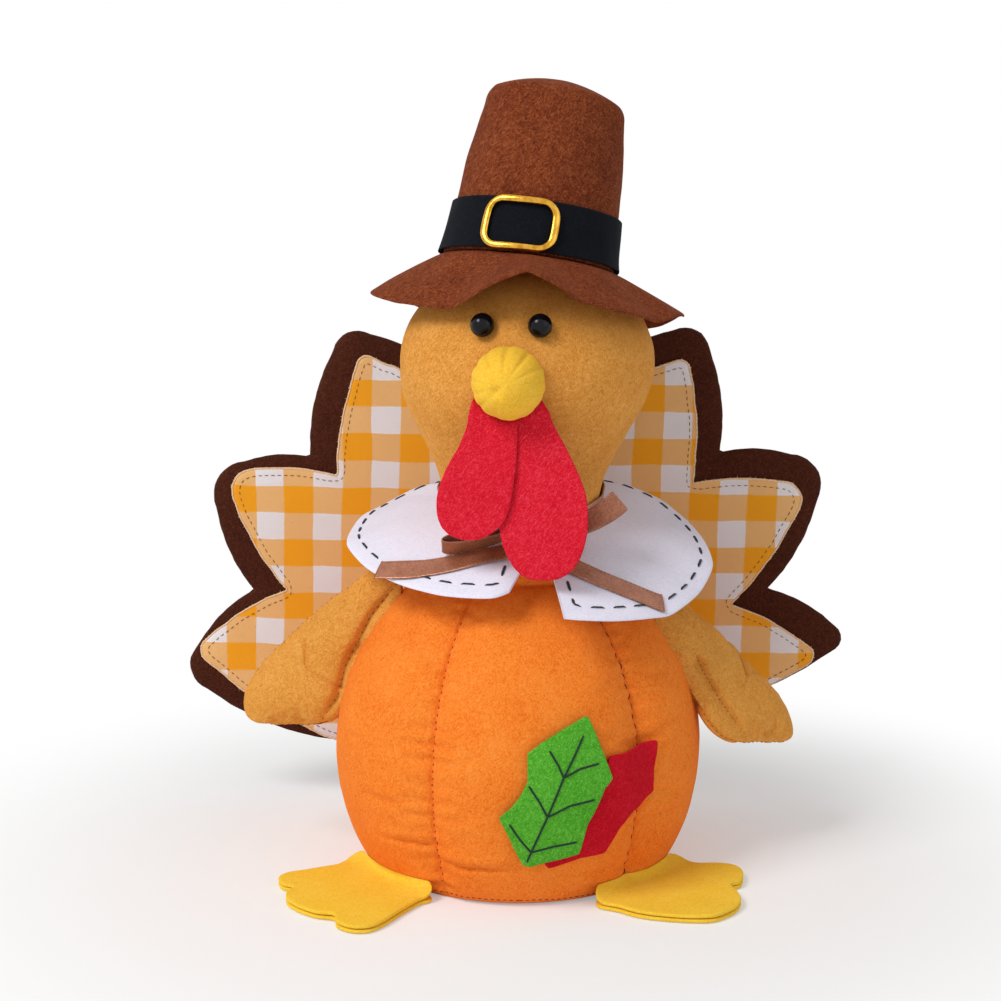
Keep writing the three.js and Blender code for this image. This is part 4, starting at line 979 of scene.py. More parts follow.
# azimuth of the start and the end, and the share of the collar's width that the end reaches
ENDS = {"left_ribbon_end": (-12, -58, 1.0), "right_ribbon_end": (17, 52, 0.93)}
END_START, END_LIFT, TURN_STEP, SHARE_STEP = 0.3, 0.85, 0.5, 0.01
for name, (start, end, end_share) in ENDS.items():
    lines = []
    along = Vector((end - start, end_share - END_START))
    for v in np.linspace(0, 1, 36):
        azimuth, share = start + along.x * v, END_START + along.y * v
        lift = FELT + END_LIFT + 0.25 * math.sin(v * 9) * v
        middle = collar_point(azimuth, share, lift)
        by_turn = (collar_point(azimuth + TURN_STEP, share, lift) - middle) / TURN_STEP
        by_share = (collar_point(azimuth, share + SHARE_STEP, lift) - middle) / SHARE_STEP
        ahead = by_turn * along.x + by_share * along.y
        slide = by_share.dot(ahead.normalized()) / ahead.length
        across = by_share - ahead * slide
        line = []
        for s in across_steps:
            step = s * RIBBON_WIDTH / across.length
            line.append(collar_point(azimuth - step * slide * along.x,
                                     share + step * (1 - slide * along.y), lift))
        lines.append(line)
    ribbon_piece(name + "_satin", lines, name)

# Hat brim: a wide ring of brown felt that droops in waves, with one sharp peak over the face.
# Everything of the hat is placed along its own axis, which leans back and to the right.
HAT_SLIDE, CROWN_RADIUS, CROWN_TOP, CROWN_HEIGHT, HAT_BASE = 3.8, 29.6, 23.5, 54, 33.271
hat_turn = Matrix.Rotation(math.radians(-10), 3, "X") @ Matrix.Rotation(math.radians(7), 3, "Y")


def on_hat(point):
    return hat_turn @ Vector(point) + Vector((HEAD_SHIFT - HAT_SLIDE, 0, head_height))


hat_felt = fibre_cloth("hat_felt", (76, 29, 12), (112, 48, 22), (150, 82, 46),
                       grain=0.85, sheen=0.2, depth=0.22, fleck=0.5, mottle=0.16, strands=0.26)
BRIM_RADIUS, BRIM_DROOP = 57, 21.5
# azimuth, and the edge's droop there as a share of BRIM_DROOP
DROOP = [(-180, 0.45), (-150, 0.7), (-120, 0.6), (-90, 0.7), (-75, 0.82), (-60, 0.95), (-30, 1),
         (-20, 0.84), (-10, 0.6), (0, 0.35), (10, 0.5), (20, 0.72), (40, 0.72), (60, 0.77), (70, 0.58),
         (80, 0.51), (100, 0.42), (130, 0.65), (155, 0.4), (180, 0.45)]
turns = np.arange(-180, 180, 2.5)
droops = np.interp(turns, [d[0] for d in DROOP], [d[1] for d in DROOP])
soft = np.array([0.25 * droops[i - 1] + 0.5 * droops[i] + 0.25 * droops[(i + 1) % len(droops)]
                 for i in range(len(droops))])
peak = np.exp(-((turns / 9) ** 2))
droops = droops * peak + soft * (1 - peak)
brim_root = CROWN_RADIUS + 0.3
brim_width = BRIM_RADIUS - brim_root


def brim_ring(radius, lift):
    """One row of the brim, so far from the hat's axis before the brim droops."""
    ring = []
    for azimuth, droop in zip(turns, droops):
        fall = BRIM_DROOP * droop
        out = max(0, (radius - brim_root) / brim_width)
        reach = math.sqrt(brim_width ** 2 - fall ** 2)
        p = around(azimuth, min(radius, brim_root) + out * reach, HAT_BASE + lift - fall * out ** 1.15)
        p.z += 0.9 * out * wander(p.x / 17, p.y / 17, 5)
        p += around(azimuth, 1, 0) * out * 0.5 * wander(p.x / 4, p.y / 4, 9)
        ring.append(on_hat(p))
    return ring


brim_steps = [CROWN_RADIUS - FELT, brim_root] + [brim_root + brim_width * s
              for s in (0.12, 0.25, 0.4, 0.55, 0.7, 0.84, 0.94, 0.985)]
brim_rings = [brim_ring(r, 0) for r in brim_steps]
brim_rings += [brim_ring(BRIM_RADIUS, 0.3), brim_ring(BRIM_RADIUS, FELT - 0.3)]
brim_rings += [brim_ring(r, FELT) for r in reversed(brim_steps)]
brim = sewn("hat_brim_felt", *lofted(brim_rings + [brim_rings[0]], False, False), hat_felt, "body",
            "hat_felt")
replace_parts(brim, "hat_brim")

# Hat crown: a tapered tube of the same felt over soft filling, closed by a domed round top. The
# filling is slack, so the top slumps to the right, its edge is rounded and the sides dent.
crown_base = HAT_BASE + FELT + 0.3
CROWN_SPREAD, CROWN_SLIDE, CROWN_STRETCH, CROWN_SLUMP = 0.035, 3.0, 1.0, 0.9
CROWN_COLUMNS, SIDE_ROWS, EDGE_ROWS, SIDE_SHARE = 112, 22, 7, 0.955


def slanted(p):
    """Leans and spreads the crown's upper part, and lets its right side sink."""
    rise = max(0, (p.z - crown_base) / CROWN_HEIGHT)
    sink = CROWN_SLUMP * rise * (p.x / CROWN_TOP)
    return Vector((p.x * (1 + CROWN_SPREAD * rise) + CROWN_SLIDE * rise, p.y,
                   p.z + CROWN_STRETCH * rise - sink))


def crown_radius(height):
    return CROWN_RADIUS + (CROWN_TOP - CROWN_RADIUS) * (height - crown_base) / CROWN_HEIGHT


# radius and height of each row: the foot, the side, the rounded edge and the top
crown_profile = [(CROWN_RADIUS - FELT, crown_base), (CROWN_RADIUS - 0.2, crown_base)]
for i in range(1, SIDE_ROWS + 1):
    height = crown_base + CROWN_HEIGHT * SIDE_SHARE * i / SIDE_ROWS
    crown_profile.append((crown_radius(height), height))
for i in range(1, EDGE_ROWS + 1):
    a = math.pi / 2 * i / EDGE_ROWS * 0.86
    crown_profile.append((CROWN_TOP - 2.9 + 3.2 * math.cos(a),
                          crown_base + CROWN_HEIGHT * SIDE_SHARE + 5.4 * math.sin(a)))
edge_radius, edge_height = crown_profile[-1]
for s in (0.93, 0.82, 0.68, 0.52, 0.36, 0.2, 0.08):
    crown_profile.append((edge_radius * s, edge_height + 5.2 * (1 - s ** 2)))
crown_rings = []
for r, h in crown_profile:
    rise = (h - crown_base) / CROWN_HEIGHT
    free = within((rise - 0.36) / 0.2)
    corner = max(0.0, rise - 0.72) / 0.3
    ring = []
    for k in range(CROWN_COLUMNS):
        azimuth = 360 * k / CROWN_COLUMNS
        out = around(azimuth, 1, 0)
        p = around(azimuth, r, h)
        p += out * free * (wander(p.x / 15, p.y / 15, h / 26) + 0.3 * noise.noise(p / 5))
        lean = max(0.0, math.sin(math.radians(azimuth) - 0.15))
        p.z -= 0.7 * corner ** 1.6 * lean ** 1.5 * (r / CROWN_TOP) ** 2
        p -= out * 0.5 * corner ** 2 * lean * (r / CROWN_TOP)
        if rise < 0.95:
            p -= out * 0.5 * bell(azimuth - 180, 1.6)
        ring.append(on_hat(slanted(p)))
    crown_rings.append(ring)
crown = sewn("hat_crown_felt", *lofted(crown_rings, start_cap=False), hat_felt, "body", "hat_felt")
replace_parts(crown, "hat_crown", "hat_top", "hat_stuffing")

# Hat band: a strip of near-black cloth round the foot of the crown, its ends lapped at the back.
BAND_HEIGHT, BAND_THICK, BAND_START, BAND_LAP, BAND_COLUMNS = 17.2, 1, 184, 9, 120
band_bottom = crown_base + 0.6
band_cloth = fibre_cloth("band_cloth", (5, 6, 10), (10, 12, 18), (22, 26, 36),
                         grain=1.3, sheen=0.06, depth=0.12, fleck=0.4, mottle=0.1, strands=0.2)
band_rings = []
for k in range(BAND_COLUMNS + 1):
    azimuth = BAND_START + (360 + BAND_LAP) * k / BAND_COLUMNS
    over = 1.05 * within((k - 114) / 4)
    inner, outer = [], []
    for s in (0, 0.03, 0.12, 0.3, 0.5, 0.7, 0.88, 0.97, 1):
        h = band_bottom + BAND_HEIGHT * s
        radius = crown_radius(h) + 0.3 + over + 0.25 * wander(azimuth / 14, s * 2) + 0.5 * (1 - s) ** 6
        inner.append(on_hat(slanted(around(azimuth, radius, h))))
        outer.append(on_hat(slanted(around(azimuth, radius + BAND_THICK, h))))
    band_rings.append(inner + outer[::-1])
band = sewn("hat_band_strip", *lofted(band_rings), band_cloth, "body", "band_cloth")
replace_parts(band, "hat_band")

# Hat buckle: a thin gold-plated frame with rounded corners and a rounded bar, bent to the band.
gold, tree, place = blank_material("gold_plate")
scuff = grains(tree, place, 420, 4.0, Roughness=0.6)
surfaced(tree, toned(tree, scuff, (0.3, (190, 130, 30)), (0.7, (238, 186, 78))), scuff, 0.2, 0.05,
         Roughness=spread(tree, scuff, 0, 1, 0.06, 0.24), Metallic=1.0)
BUCKLE_WIDTH, BUCKLE_HEIGHT, BUCKLE_BAR, BUCKLE_THICK, BUCKLE_CORNER = 24, 18, 2.5, 1.7, 4.2
BUCKLE_STEPS, BUCKLE_SIDES, BUCKLE_TURN = 96, 12, -9
half_w, half_h = (BUCKLE_WIDTH - BUCKLE_BAR) / 2, (BUCKLE_HEIGHT - BUCKLE_BAR) / 2
buckle_line = []
for cx, cy, start in ((1, 1, 0), (-1, 1, 90), (-1, -1, 180), (1, -1, 270)):
    for k in range(9):
        a = math.radians(start + 90 * k / 8)
        buckle_line.append(Vector((cx * (half_w - BUCKLE_CORNER) + BUCKLE_CORNER * math.cos(a),
                                   cy * (half_h - BUCKLE_CORNER) + BUCKLE_CORNER * math.sin(a))))
buckle_line = even(buckle_line, BUCKLE_STEPS)
middle = band_bottom + BAND_HEIGHT / 2
seat = crown_radius(middle) + BAND_THICK + 0.75
lean = (CROWN_RADIUS - CROWN_TOP) / CROWN_HEIGHT
buckle_rings = []
for i, p in enumerate(buckle_line):
    ahead = (buckle_line[(i + 1) % BUCKLE_STEPS] - buckle_line[i - 1]).normalized()
    side = Vector((ahead.y, -ahead.x))
    ring = []
    for k in range(BUCKLE_SIDES):
        a = 2 * math.pi * k / BUCKLE_SIDES
        q = p + side * BUCKLE_BAR / 2 * math.cos(a)
        q.x *= 1 + 0.07 * (1 - (q.y / half_h) ** 2)
        out = seat + BUCKLE_THICK / 2 * (1 + math.sin(a)) - lean * q.y
        ring.append(on_hat(slanted(around(BUCKLE_TURN + math.degrees(q.x / seat), out, middle + q.y))))
    buckle_rings.append(ring)
buckle = sewn("hat_buckle_frame", *lofted(buckle_rings + [buckle_rings[0]], False, False), gold, "body",
              "gold_metal")
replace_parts(buckle, "hat_buckle")

# Wings: two panels of tan plush each, sewn round the edge over a loose filling and hung by the top
# at the body's sides. One line of quilting is stitched in along each wing's front.
WING_LENGTH, WING_WIDTH, WING_THICK = 67, 34, 15
# how far along and across the wing, as shares of its length and width
WING_OUTLINE = [
    (-0.11, 0.04), (-0.07, 0.2), (0.09, 0.31), (0.32, 0.45), (0.54, 0.54), (0.73, 0.6), (0.88, 0.57),
    (0.98, 0.45), (1, 0.3), (0.95, 0.12), (0.87, -0.08), (0.78, -0.28), (0.7, -0.38), (0.58, -0.4),
    (0.42, -0.35), (0.26, -0.3), (0.1, -0.27), (-0.05, -0.18)]
wing_plush = fibre_cloth("wing_plush", (194, 122, 44), (222, 150, 62), (238, 180, 98),
                         grain=1.0, sheen=0.3, depth=0.18, fleck=0.45, mottle=0.14, strands=0.16)
# the quilted lines, and the pinches at the wings' tips, as x and z seen from the front
LEFT_QUILT = [(-41.5, 99.5), (-50.9, 87.9), (-55.1, 79.7), (-59.7, 70.5), (-62.3, 60.5), (-68, 51.9)]
RIGHT_QUILT = [(60.0, 78), (63.5, 70.2), (68.5, 61.6), (73.5, 54.4), (78.2, 48.2)]
LEFT_PINCH = [(-73, 47.5), (-66, 50.2), (-60, 48)]
RIGHT_PINCH = [(84.5, 45.5), (88.8, 45.2), (92, 53)]


def near_line(p, line):
    """Distance from a flat point to a line, and how far along it the nearest place is."""
    best, share, run = 1e9, 0.0, 0.0
    total = sum((Vector(b) - Vector(a)).length for a, b in zip(line, line[1:]))
    for a, b in zip(line, line[1:]):
        a, b = Vector(a), Vector(b)
        step = b - a
        t = within((p - a).dot(step) / step.length_squared)
        gap = (a + step * t - p).length
        if gap < best:
            best, share = gap, (run + t * step.length) / total
        run += step.length
    return best, share


WING_EDGE = [0.08, 0.22, 0.38, 0.54, 0.68, 0.8, 0.89, 0.95, 0.985]
EDGE_POINTS, QUILT_POINTS, FROM_FRONT = 150, 44, -60


def wing(name, side, drop, splay, twist, root_out, inner, quilt, pinch):
    """One wing, hung from its root: drop under the neck, splay from upright and twist about its own
    length; inner widens the side next to the body."""
    outline = []
    for u, v in WING_OUTLINE:
        wide = 1 + (inner - 1) * within((0.98 - u) / 0.42) if v < 0 else 1
        outline.append((u * WING_LENGTH, v * WING_WIDTH * wide))
    outline = even(closed_curve(outline, 6), 88)
    middle = Vector((0.56 * WING_LENGTH, 0.1 * WING_WIDTH))
    root = Vector((side * root_out, -4, neck_base - drop))
    splay, twist = math.radians(splay), math.radians(twist)

    def placed(q, outward):
        up = q.y * math.cos(twist) + outward * math.sin(twist)
        forward = outward * math.cos(twist) - q.y * math.sin(twist)
        return root + Vector((side * (q.x * math.sin(splay) + up * math.cos(splay)), -forward,
                              up * math.sin(splay) - q.x * math.cos(splay)))
    levels = [(s, 1) for s in WING_EDGE] + [(1.0, 0)] + [(s, -1) for s in reversed(WING_EDGE)]
    rings = []
    for s, face in levels:
        thick = face * 0.82 * (WING_THICK / 2) * (1 - s ** 2) ** 0.5
        rings.append([placed(middle + (p - middle) * s * 0.985, thick) for p in outline])
    held = [float(face == 0) for _, face in levels for _ in outline]
    corners = puffed(*lofted(rings), held, pressure=4, slack=0.05, cap=1.6)
    corners, n = finer(corners, len(outline), 3, 2)
    seam_row = 3 * len(WING_EDGE)
    for k, p in enumerate(corners):
        if k // n < seam_row:
            for line, deep, wide in ((quilt, 2.3, 1.15), (pinch, 1.4, 1.1)):
                gap, along = near_line(Vector((p.x, p.z)), line)
                fade = min(1, 6 * along + 0.2) * min(1, 6 * (1 - along) + 0.1)
                p = p + Vector((0, fade * deep * (bell(gap, wide) + 0.4 * bell(gap, 3.4)), 0))
        away = (p - root) - (p - root).project(placed(Vector((1, 0)), 0) - root)
        gather = 0.22 * bell(k // n - seam_row, 3.0)
        gather *= math.sin(k % n * 2 * math.pi / 7.3 + 3 * noise.noise(p / 8))
        soft = Vector((0.3 * noise.noise(p / 9), 0.45 * noise.noise(p / 10 + Vector((5, 0, 0))), 0))
        corners[k] = p + soft + away.normalized() * gather
    seam = corners[seam_row * n:(seam_row + 1) * n]
    corners, faces = lofted([corners[r:r + n] for r in range(0, len(corners), n)])
    piece = sewn(name + "_plush", corners, faces, wing_plush, name, "head_fabric", rounds=0)
    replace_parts(piece, name + "_front", name + "_back", name + "_stuffing")
    dense = even(seam, EDGE_POINTS)
    centre = sum(seam, Vector()) / n
    runs = []
    for i in range(0, EDGE_POINTS, 2):
        a, b = dense[i], dense[(i + 1) % EDGE_POINTS]
        way = ((a + b) / 2 - centre).normalized()
        runs.append(([a - way * 0.1, (a + b) / 2 + way * 0.12, b - way * 0.1], [way] * 3))
    threads(name + "_edge_stitches", runs, 0.35, head_thread, name, "head_fabric", sides=5)
    tree = BVHTree.FromPolygons(corners, faces)
    line = even([Vector((x, FROM_FRONT, z)) for x, z in quilt], QUILT_POINTS, closed=False)
    inward = Vector((0, 1, 0))
    runs = []
    for i in range(0, QUILT_POINTS - 1, 2):
        spots = [tree.ray_cast(q, inward)[0] for q in (line[i], (line[i] + line[i + 1]) / 2, line[i + 1])]
        if None not in spots:
            runs.append(([p + inward * sink for p, sink in zip(spots, (0.15, -0.1, 0.15))], [-inward] * 3))
    threads(name + "_quilting", runs, 0.4, head_thread, name, "head_fabric", sides=5)


wing("left_wing", -1, drop=6.5, splay=36, twist=24, root_out=46.5, inner=1.1, quilt=LEFT_QUILT,
     pinch=LEFT_PINCH)
wing("right_wing", 1, drop=13.5, splay=37, twist=56, root_out=51.298, inner=1.45, quilt=RIGHT_QUILT,
     pinch=RIGHT_PINCH)

# Tail fan: two dark brown felt shapes with round lobes, sewn together at the edge over a layer of
# wadding, so that the fan is plump inside and thin at its rim. It is sewn flat to the back.
FAN_RADIUS, FAN_RISE, FAN_MIDDLE, FAN_HALF = 120, 80, 61.4, 3.2
# bearing from straight up, share of FAN_RADIUS, and the tip's radius as a share of it (0 in a notch)
FAN = [
    (-130.4, 0.733, 0), (-103.2, 0.978, 0.088), (-88.5, 0.833, 0), (-68.9, 0.909, 0.104),
    (-55.3, 0.786, 0), (-32.9, 0.908, 0.079), (-16, 0.72, 0), (0, 0.8, 0.09), (16, 0.72, 0),
    (34, 0.932, 0.079), (54.1, 0.786, 0), (67.5, 0.928, 0.1), (88.2, 0.797, 0), (97.8, 0.998, 0.046),
    (123.4, 0.659, 0)]
GINGHAM = [
    (-130.4, 0.731, 0), (-99.9, 0.979, 0.037), (-87.9, 0.72, 0), (-67.5, 0.888, 0.071), (-55, 0.681, 0),
    (-32.1, 0.87, 0.028), (-15, 0.6, 0), (0, 0.7, 0.04), (15, 0.6, 0), (35.1, 0.885, 0.028),
    (56.3, 0.657, 0), (69.4, 0.891, 0.058), (91.8, 0.674, 0), (101.7, 0.928, 0.035), (124, 0.663, 0)]


def compass(bearing, distance):
    return Vector((distance * math.sin(bearing), distance * math.cos(bearing)))


def fan_line(rows, bulge):
    """The fan's edge: from each notch a gently swelling side to the round tip beside it."""
    spots = [compass(math.radians(b), share * FAN_RADIUS) for b, share, _ in rows]
    line = [spots[0]]
    for i in range(1, len(rows), 2):
        before, tip, after = spots[i - 1:i + 2]
        aim, radius = math.radians(rows[i][0]), max(0.4, rows[i][2] * FAN_RADIUS)
        ends = []
        for notch, side in ((before, -1), (after, 1)):
            away = notch - tip
            turn = math.atan2(away.x, away.y) - side * math.acos(min(1, radius / away.length))
            ends.append(aim + (turn - aim + math.pi) % (2 * math.pi) - math.pi)
        arc = [tip + compass(ends[0] + (ends[1] - ends[0]) * k / 10, radius) for k in range(11)]
        for start, end in ((before, arc[0]), (arc[-1], after)):
            step = end - start
            out = Vector((-step.y, step.x)).normalized() * bulge * step.length
            line += [start + step * t + out * 4 * t * (1 - t) for t in (0.2, 0.4, 0.6, 0.8)]
            if start is before:
                line += arc
        line.append(after)
    return [Vector((p.x, p.y + FAN_RISE)) for p in line]


fan_edge = fan_line(FAN, bulge=0.07)
fan_points = np.array([[p.x, p.y] for p in even(fan_edge, 700)])
FAN_RIM, RIM_WIDTH = 0.75, 3.4


def fan_plump(x, z):
    """Half the fan's thickness: thin at the rim, full a few millimetres inside it."""
    inside = float(np.hypot(fan_points[:, 0] - x, fan_points[:, 1] - z).min())
    return FAN_RIM + (FAN_HALF - FAN_RIM) * (1 - math.exp(-inside / RIM_WIDTH))


tail_felt = fibre_cloth("tail_felt", (46, 18, 9), (66, 28, 15), (92, 46, 28),
                        grain=1.0, sheen=0.15, depth=0.16, fleck=0.4, mottle=0.1, strands=0.2)
fan_outline = even(fan_edge, 360)
fan_centre = Vector((0, FAN_RISE))
fan_shares = [0.12, 0.3, 0.48, 0.62, 0.73, 0.82, 0.89, 0.94, 0.975, 0.993]
fan_rings = []
for s, face in [(s, -1) for s in fan_shares] + [(1.0, 0)] + [(s, 1) for s in reversed(fan_shares)]:
    ring = []
    for p in fan_outline:
        q = fan_centre + (p - fan_centre) * s
        if face == 0:
            q += (p - fan_centre).normalized() * 0.3 * wander(p.x / 3.5, p.y / 3.5, 2)
        quilted = 0.3 * wander(q.x / 15, q.y / 15, face) if s < 0.95 else 0
        ring.append(Vector((q.x, FAN_MIDDLE + face * (fan_plump(q.x, q.y) + quilted), q.y)))
    fan_rings.append(ring)
fan = sewn("tail_fan_felt", *lofted(fan_rings), tail_felt, "body", "tail_felt", rounds=0)
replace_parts(fan, "tail_front_panel", "tail_batting", "tail_back_panel")
tail_thread = spun("tail_thread", (30, 12, 6), (88, 46, 28))
THREAD_STEP = 0.8


def fan_stitches(name, edge, front, way, length, gap, thick, thread, slot):
    """A row of stitches near an edge, on the side that way points to: -1 in front, 1 behind."""
    run = sum((b - a).length for a, b in zip(edge, edge[1:]))
    points = even(edge, max(8, int(run / THREAD_STEP)))
    runs, i = [], 0
    steps, skip = max(1, round(length / THREAD_STEP)), max(1, round(gap / THREAD_STEP))
    while i + steps < len(points):
        line = []
        for k, p in enumerate(points[i:i + steps + 1]):
            lift = -0.15 if k in (0, steps) else 0.1
            line.append(Vector((p.x, front(p.x, p.y) + way * lift, p.y)))
        runs.append((line, [Vector((0, way, 0))] * len(line)))
        i += steps + skip
    threads(name, runs, thick, thread, "body", slot, sides=5)


def drawn_in(edge, inset):
    """The same edge, moved in by a set distance."""
    made = []
    points = even(edge, 900)
    n = len(points)
    for i, p in enumerate(points):
        ahead = (points[(i + 3) % n] - points[i - 3]).normalized()
        q = p + Vector((ahead.y, -ahead.x)) * inset
        gaps = [(r - q).length for r in points[::3]]
        if min(gaps) > inset * 0.93:
            made.append(q)
    return made


def fan_back(x, z):
    return FAN_MIDDLE + fan_plump(x, z)


fan_stitches("tail_back_stitches", drawn_in(fan_edge, 2.2), fan_back, 1, 2.4, 0.8, 0.4, tail_thread,
             "tail_felt")
# The fan is sewn to the body's back through an oval of long stitches.
SEAT_WIDTH, SEAT_HEIGHT, SEAT_MIDDLE = 48, 60, 62
seat_line = [Vector((SEAT_WIDTH / 2 * math.cos(math.radians(a)),
                     SEAT_MIDDLE + SEAT_HEIGHT / 2 * math.sin(math.radians(a)))) for a in range(0, 360, 4)]
fan_stitches("tail_seat_stitches", seat_line, fan_back, 1, 3.2, 2.4, 0.6, tail_thread, "tail_felt")

# Gingham: a woven cotton check, cut to the same lobes a little smaller, laid on the fan's front and
# machine-stitched near its raw edge, where the weave frays.
CHECK_X, CHECK_Z, WHITE_X, WHITE_Z, CHECK_TURN, CHECK_THREAD = 21.75, 20.3, -97.9, 121.4, -1.0, 0.55
gingham, tree, place = blank_material("orange_gingham")
warped = part_of(tree, "ShaderNodeTexNoise", Vector=place, Scale=38.0, Detail=2.0).outputs[1]
centred = part_of(tree, "ShaderNodeVectorMath", set_operation="SUBTRACT", Vector=warped)
centred.inputs[1].default_value = (0.5, 0.5, 0.5)
drift = part_of(tree, "ShaderNodeVectorMath", set_operation="SCALE", Vector=centred.outputs[0],
                Scale=2.6 * mm)
laid = part_of(tree, "ShaderNodeVectorMath", set_operation="ADD", Vector=place)
tree.links.new(drift.outputs[0], laid.inputs[1])
turned = part_of(tree, "ShaderNodeVectorRotate", Vector=laid.outputs[0], Center=(0, 0, 0.12),
                 Axis=(0, 1, 0), Angle=math.radians(CHECK_TURN))
axes = part_of(tree, "ShaderNodeSeparateXYZ", Vector=turned.outputs[0]).outputs


def dyed(axis, period, start, white):
    """1 on the dyed threads and 0 on the white ones, with a slightly soft border."""
    phase = sums(tree, "FRACT", sums(tree, "DIVIDE", sums(tree, "SUBTRACT", axis, start * mm), period * mm))
    centre = sums(tree, "ABSOLUTE", sums(tree, "SUBTRACT", phase, 0.5 + white / 2))
    return spread(tree, centre, (1 - white) / 2 - 0.012, (1 - white) / 2 + 0.012, 1.0, 0.0)


warp = dyed(axes[0], CHECK_X, WHITE_X, 0.49)
weft = dyed(axes[2], CHECK_Z, WHITE_Z, 0.5)
both = sums(tree, "MULTIPLY", sums(tree, "ADD", warp, weft), 0.5)
thread_turn = 2 * math.pi / (CHECK_THREAD * mm)
over = sums(tree, "MULTIPLY", sums(tree, "SINE", sums(tree, "MULTIPLY", axes[0], thread_turn)),
            sums(tree, "SINE", sums(tree, "MULTIPLY", axes[2], thread_turn)))
slub = grains(tree, laid.outputs[0], 700, 3.0)
soil = grains(tree, place, 420, 5.0, Roughness=0.7)
# Broad patches shift the checks' tones a little.
broad_patches = grains(tree, place, 52, 4.0, Roughness=0.6)
tone = sums(tree, "ADD", both, sums(tree, "MULTIPLY", sums(tree, "SUBTRACT", slub, 0.5), 0.3))
tone = sums(tree, "MULTIPLY_ADD", sums(tree, "SUBTRACT", broad_patches, 0.5), 0.22, tone)
tone = sums(tree, "MULTIPLY_ADD", over, 0.03, tone)
dye = toned(tree, tone, (0.1, (236, 233, 236)), (0.92, (246, 166, 28)), (0.4, (238, 190, 128)),
            (0.62, (238, 184, 116)))
stained = sums(tree, "MULTIPLY", spread(tree, soil, 0.66, 0.74, 0.0, 0.55),
               sums(tree, "MULTIPLY_ADD", both, 0.8, 0.2))
flecked = part_of(tree, "ShaderNodeMix", set_data_type="RGBA", Factor=stained)
tree.links.new(dye, flecked.inputs[6])
flecked.inputs[7].default_value = paint((150, 84, 20))
surfaced(tree, flecked.outputs[2], sums(tree, "MULTIPLY_ADD", over, 0.5, slub), 0.6, 0.12,
         Roughness=0.85, Specular_IOR_Level=0.2, Sheen_Weight=0.12)
CLOTH_THICK, CLOTH_BACK = 0.3, 0.45


def fan_front(x, z):
    """The front of the cloth where it lies on the fan, with its folds along a slant."""
    along, across = 0.8 * x + 0.6 * z, 0.8 * z - 0.6 * x
    fold = wander(along / 19, across / 5.5, 4)
    wrinkle = 0.3 * wander(x / 13, z / 13, 4) + 0.35 * fold * abs(fold) + 0.1 * wander(x / 4, z / 4, 8)
    return FAN_MIDDLE - fan_plump(x, z) - CLOTH_BACK - CLOTH_THICK - wrinkle


def on_cloth(p, lift=0.0):
    return Vector((p.x, fan_front(p.x, p.y) + lift, p.y))


cloth_line = even(fan_line(GINGHAM, bulge=0.05), 420)
for i, p in enumerate(cloth_line):
    away = (p - fan_centre).normalized()
    cloth_line[i] = p + away * (0.35 * wander(p.x / 1.3, p.y / 1.3, 6) + 0.9 * wander(p.x / 9, p.y / 9, 2))
cloth_shares = [0.06, 0.16, 0.26, 0.36, 0.46, 0.56, 0.66, 0.75, 0.83, 0.9, 0.95, 0.985, 1.0]
cloth_levels = [(s, 0.0) for s in cloth_shares] + [(s, CLOTH_THICK) for s in reversed(cloth_shares)]
cloth_rings = [[on_cloth(fan_centre + (p - fan_centre) * s, lift) for p in cloth_line]
               for s, lift in cloth_levels]
check_cloth = sewn("tail_gingham_cloth", *lofted(cloth_rings), gingham, "body", "gingham", rounds=0)
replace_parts(check_cloth, "tail_gingham")
flat_cut(cloth_line)
fan_stitches("gingham_stitches", drawn_in(even(cloth_line, 220), 2.6),
             lambda x, z: fan_front(x, z) - 0.05, -1, 1.6, 0.8, 0.35,
             spun("gingham_thread", (96, 58, 20), (150, 98, 40)), "gingham")
fray_thread = spun("fray_thread", (222, 160, 84), (248, 228, 200))
FRAYS, EDGE_ROLL, FRAY_SEED = 1500, 900, 7
noise.seed_set(FRAY_SEED)
to_front = Vector((0, -1, 0))
fray_runs = []
points = even(cloth_line, FRAYS)
for i in range(0, FRAYS, 2):
    p, q = points[i], points[(i + 1) % FRAYS]
    ahead = (q - p).normalized()
    out = Vector((-ahead.y, ahead.x))
    wild = noise.noise_vector(Vector((i * 0.37, 1.3, 7)))
    base = p - out * 0.35
    tip = base + (out + ahead * 1.2 * wild.y).normalized() * (0.7 + 0.9 * abs(wild.x))
    start = on_cloth(base, 0.1)
    end = Vector((tip.x, fan_front(p.x, p.y) + 0.15 - 0.4 * wild.z, tip.y))
    fray_runs.append(([start, (start + end) / 2 + to_front * 0.08, end], [to_front] * 3))
threads("gingham_fray", fray_runs, 0.28, fray_thread, "body", "gingham", sides=3)
rolled = [on_cloth(p, 0.12) for p in even(cloth_line, EDGE_ROLL)]
threads("gingham_raw_edge", [(rolled, [to_front] * EDGE_ROLL)], 0.75, fray_thread, "body", "gingham")

# Feet: two layers of yellow felt each, cut to three toes and sewn at the heel into the seam between
# the cover and the base. The upper layer turns up a little where it meets the body.
FOOT_FELT, FOOT_LENGTH, FOOT_WIDTH, FOOT_TURN, HEEL_REACH = 1.35, 41, 54, 50.5, 51.467
FOOT_HINGE, FOOT_BEND, HEEL_TURN_UP, HEEL_RISE = 3, 13, 6, 3.6
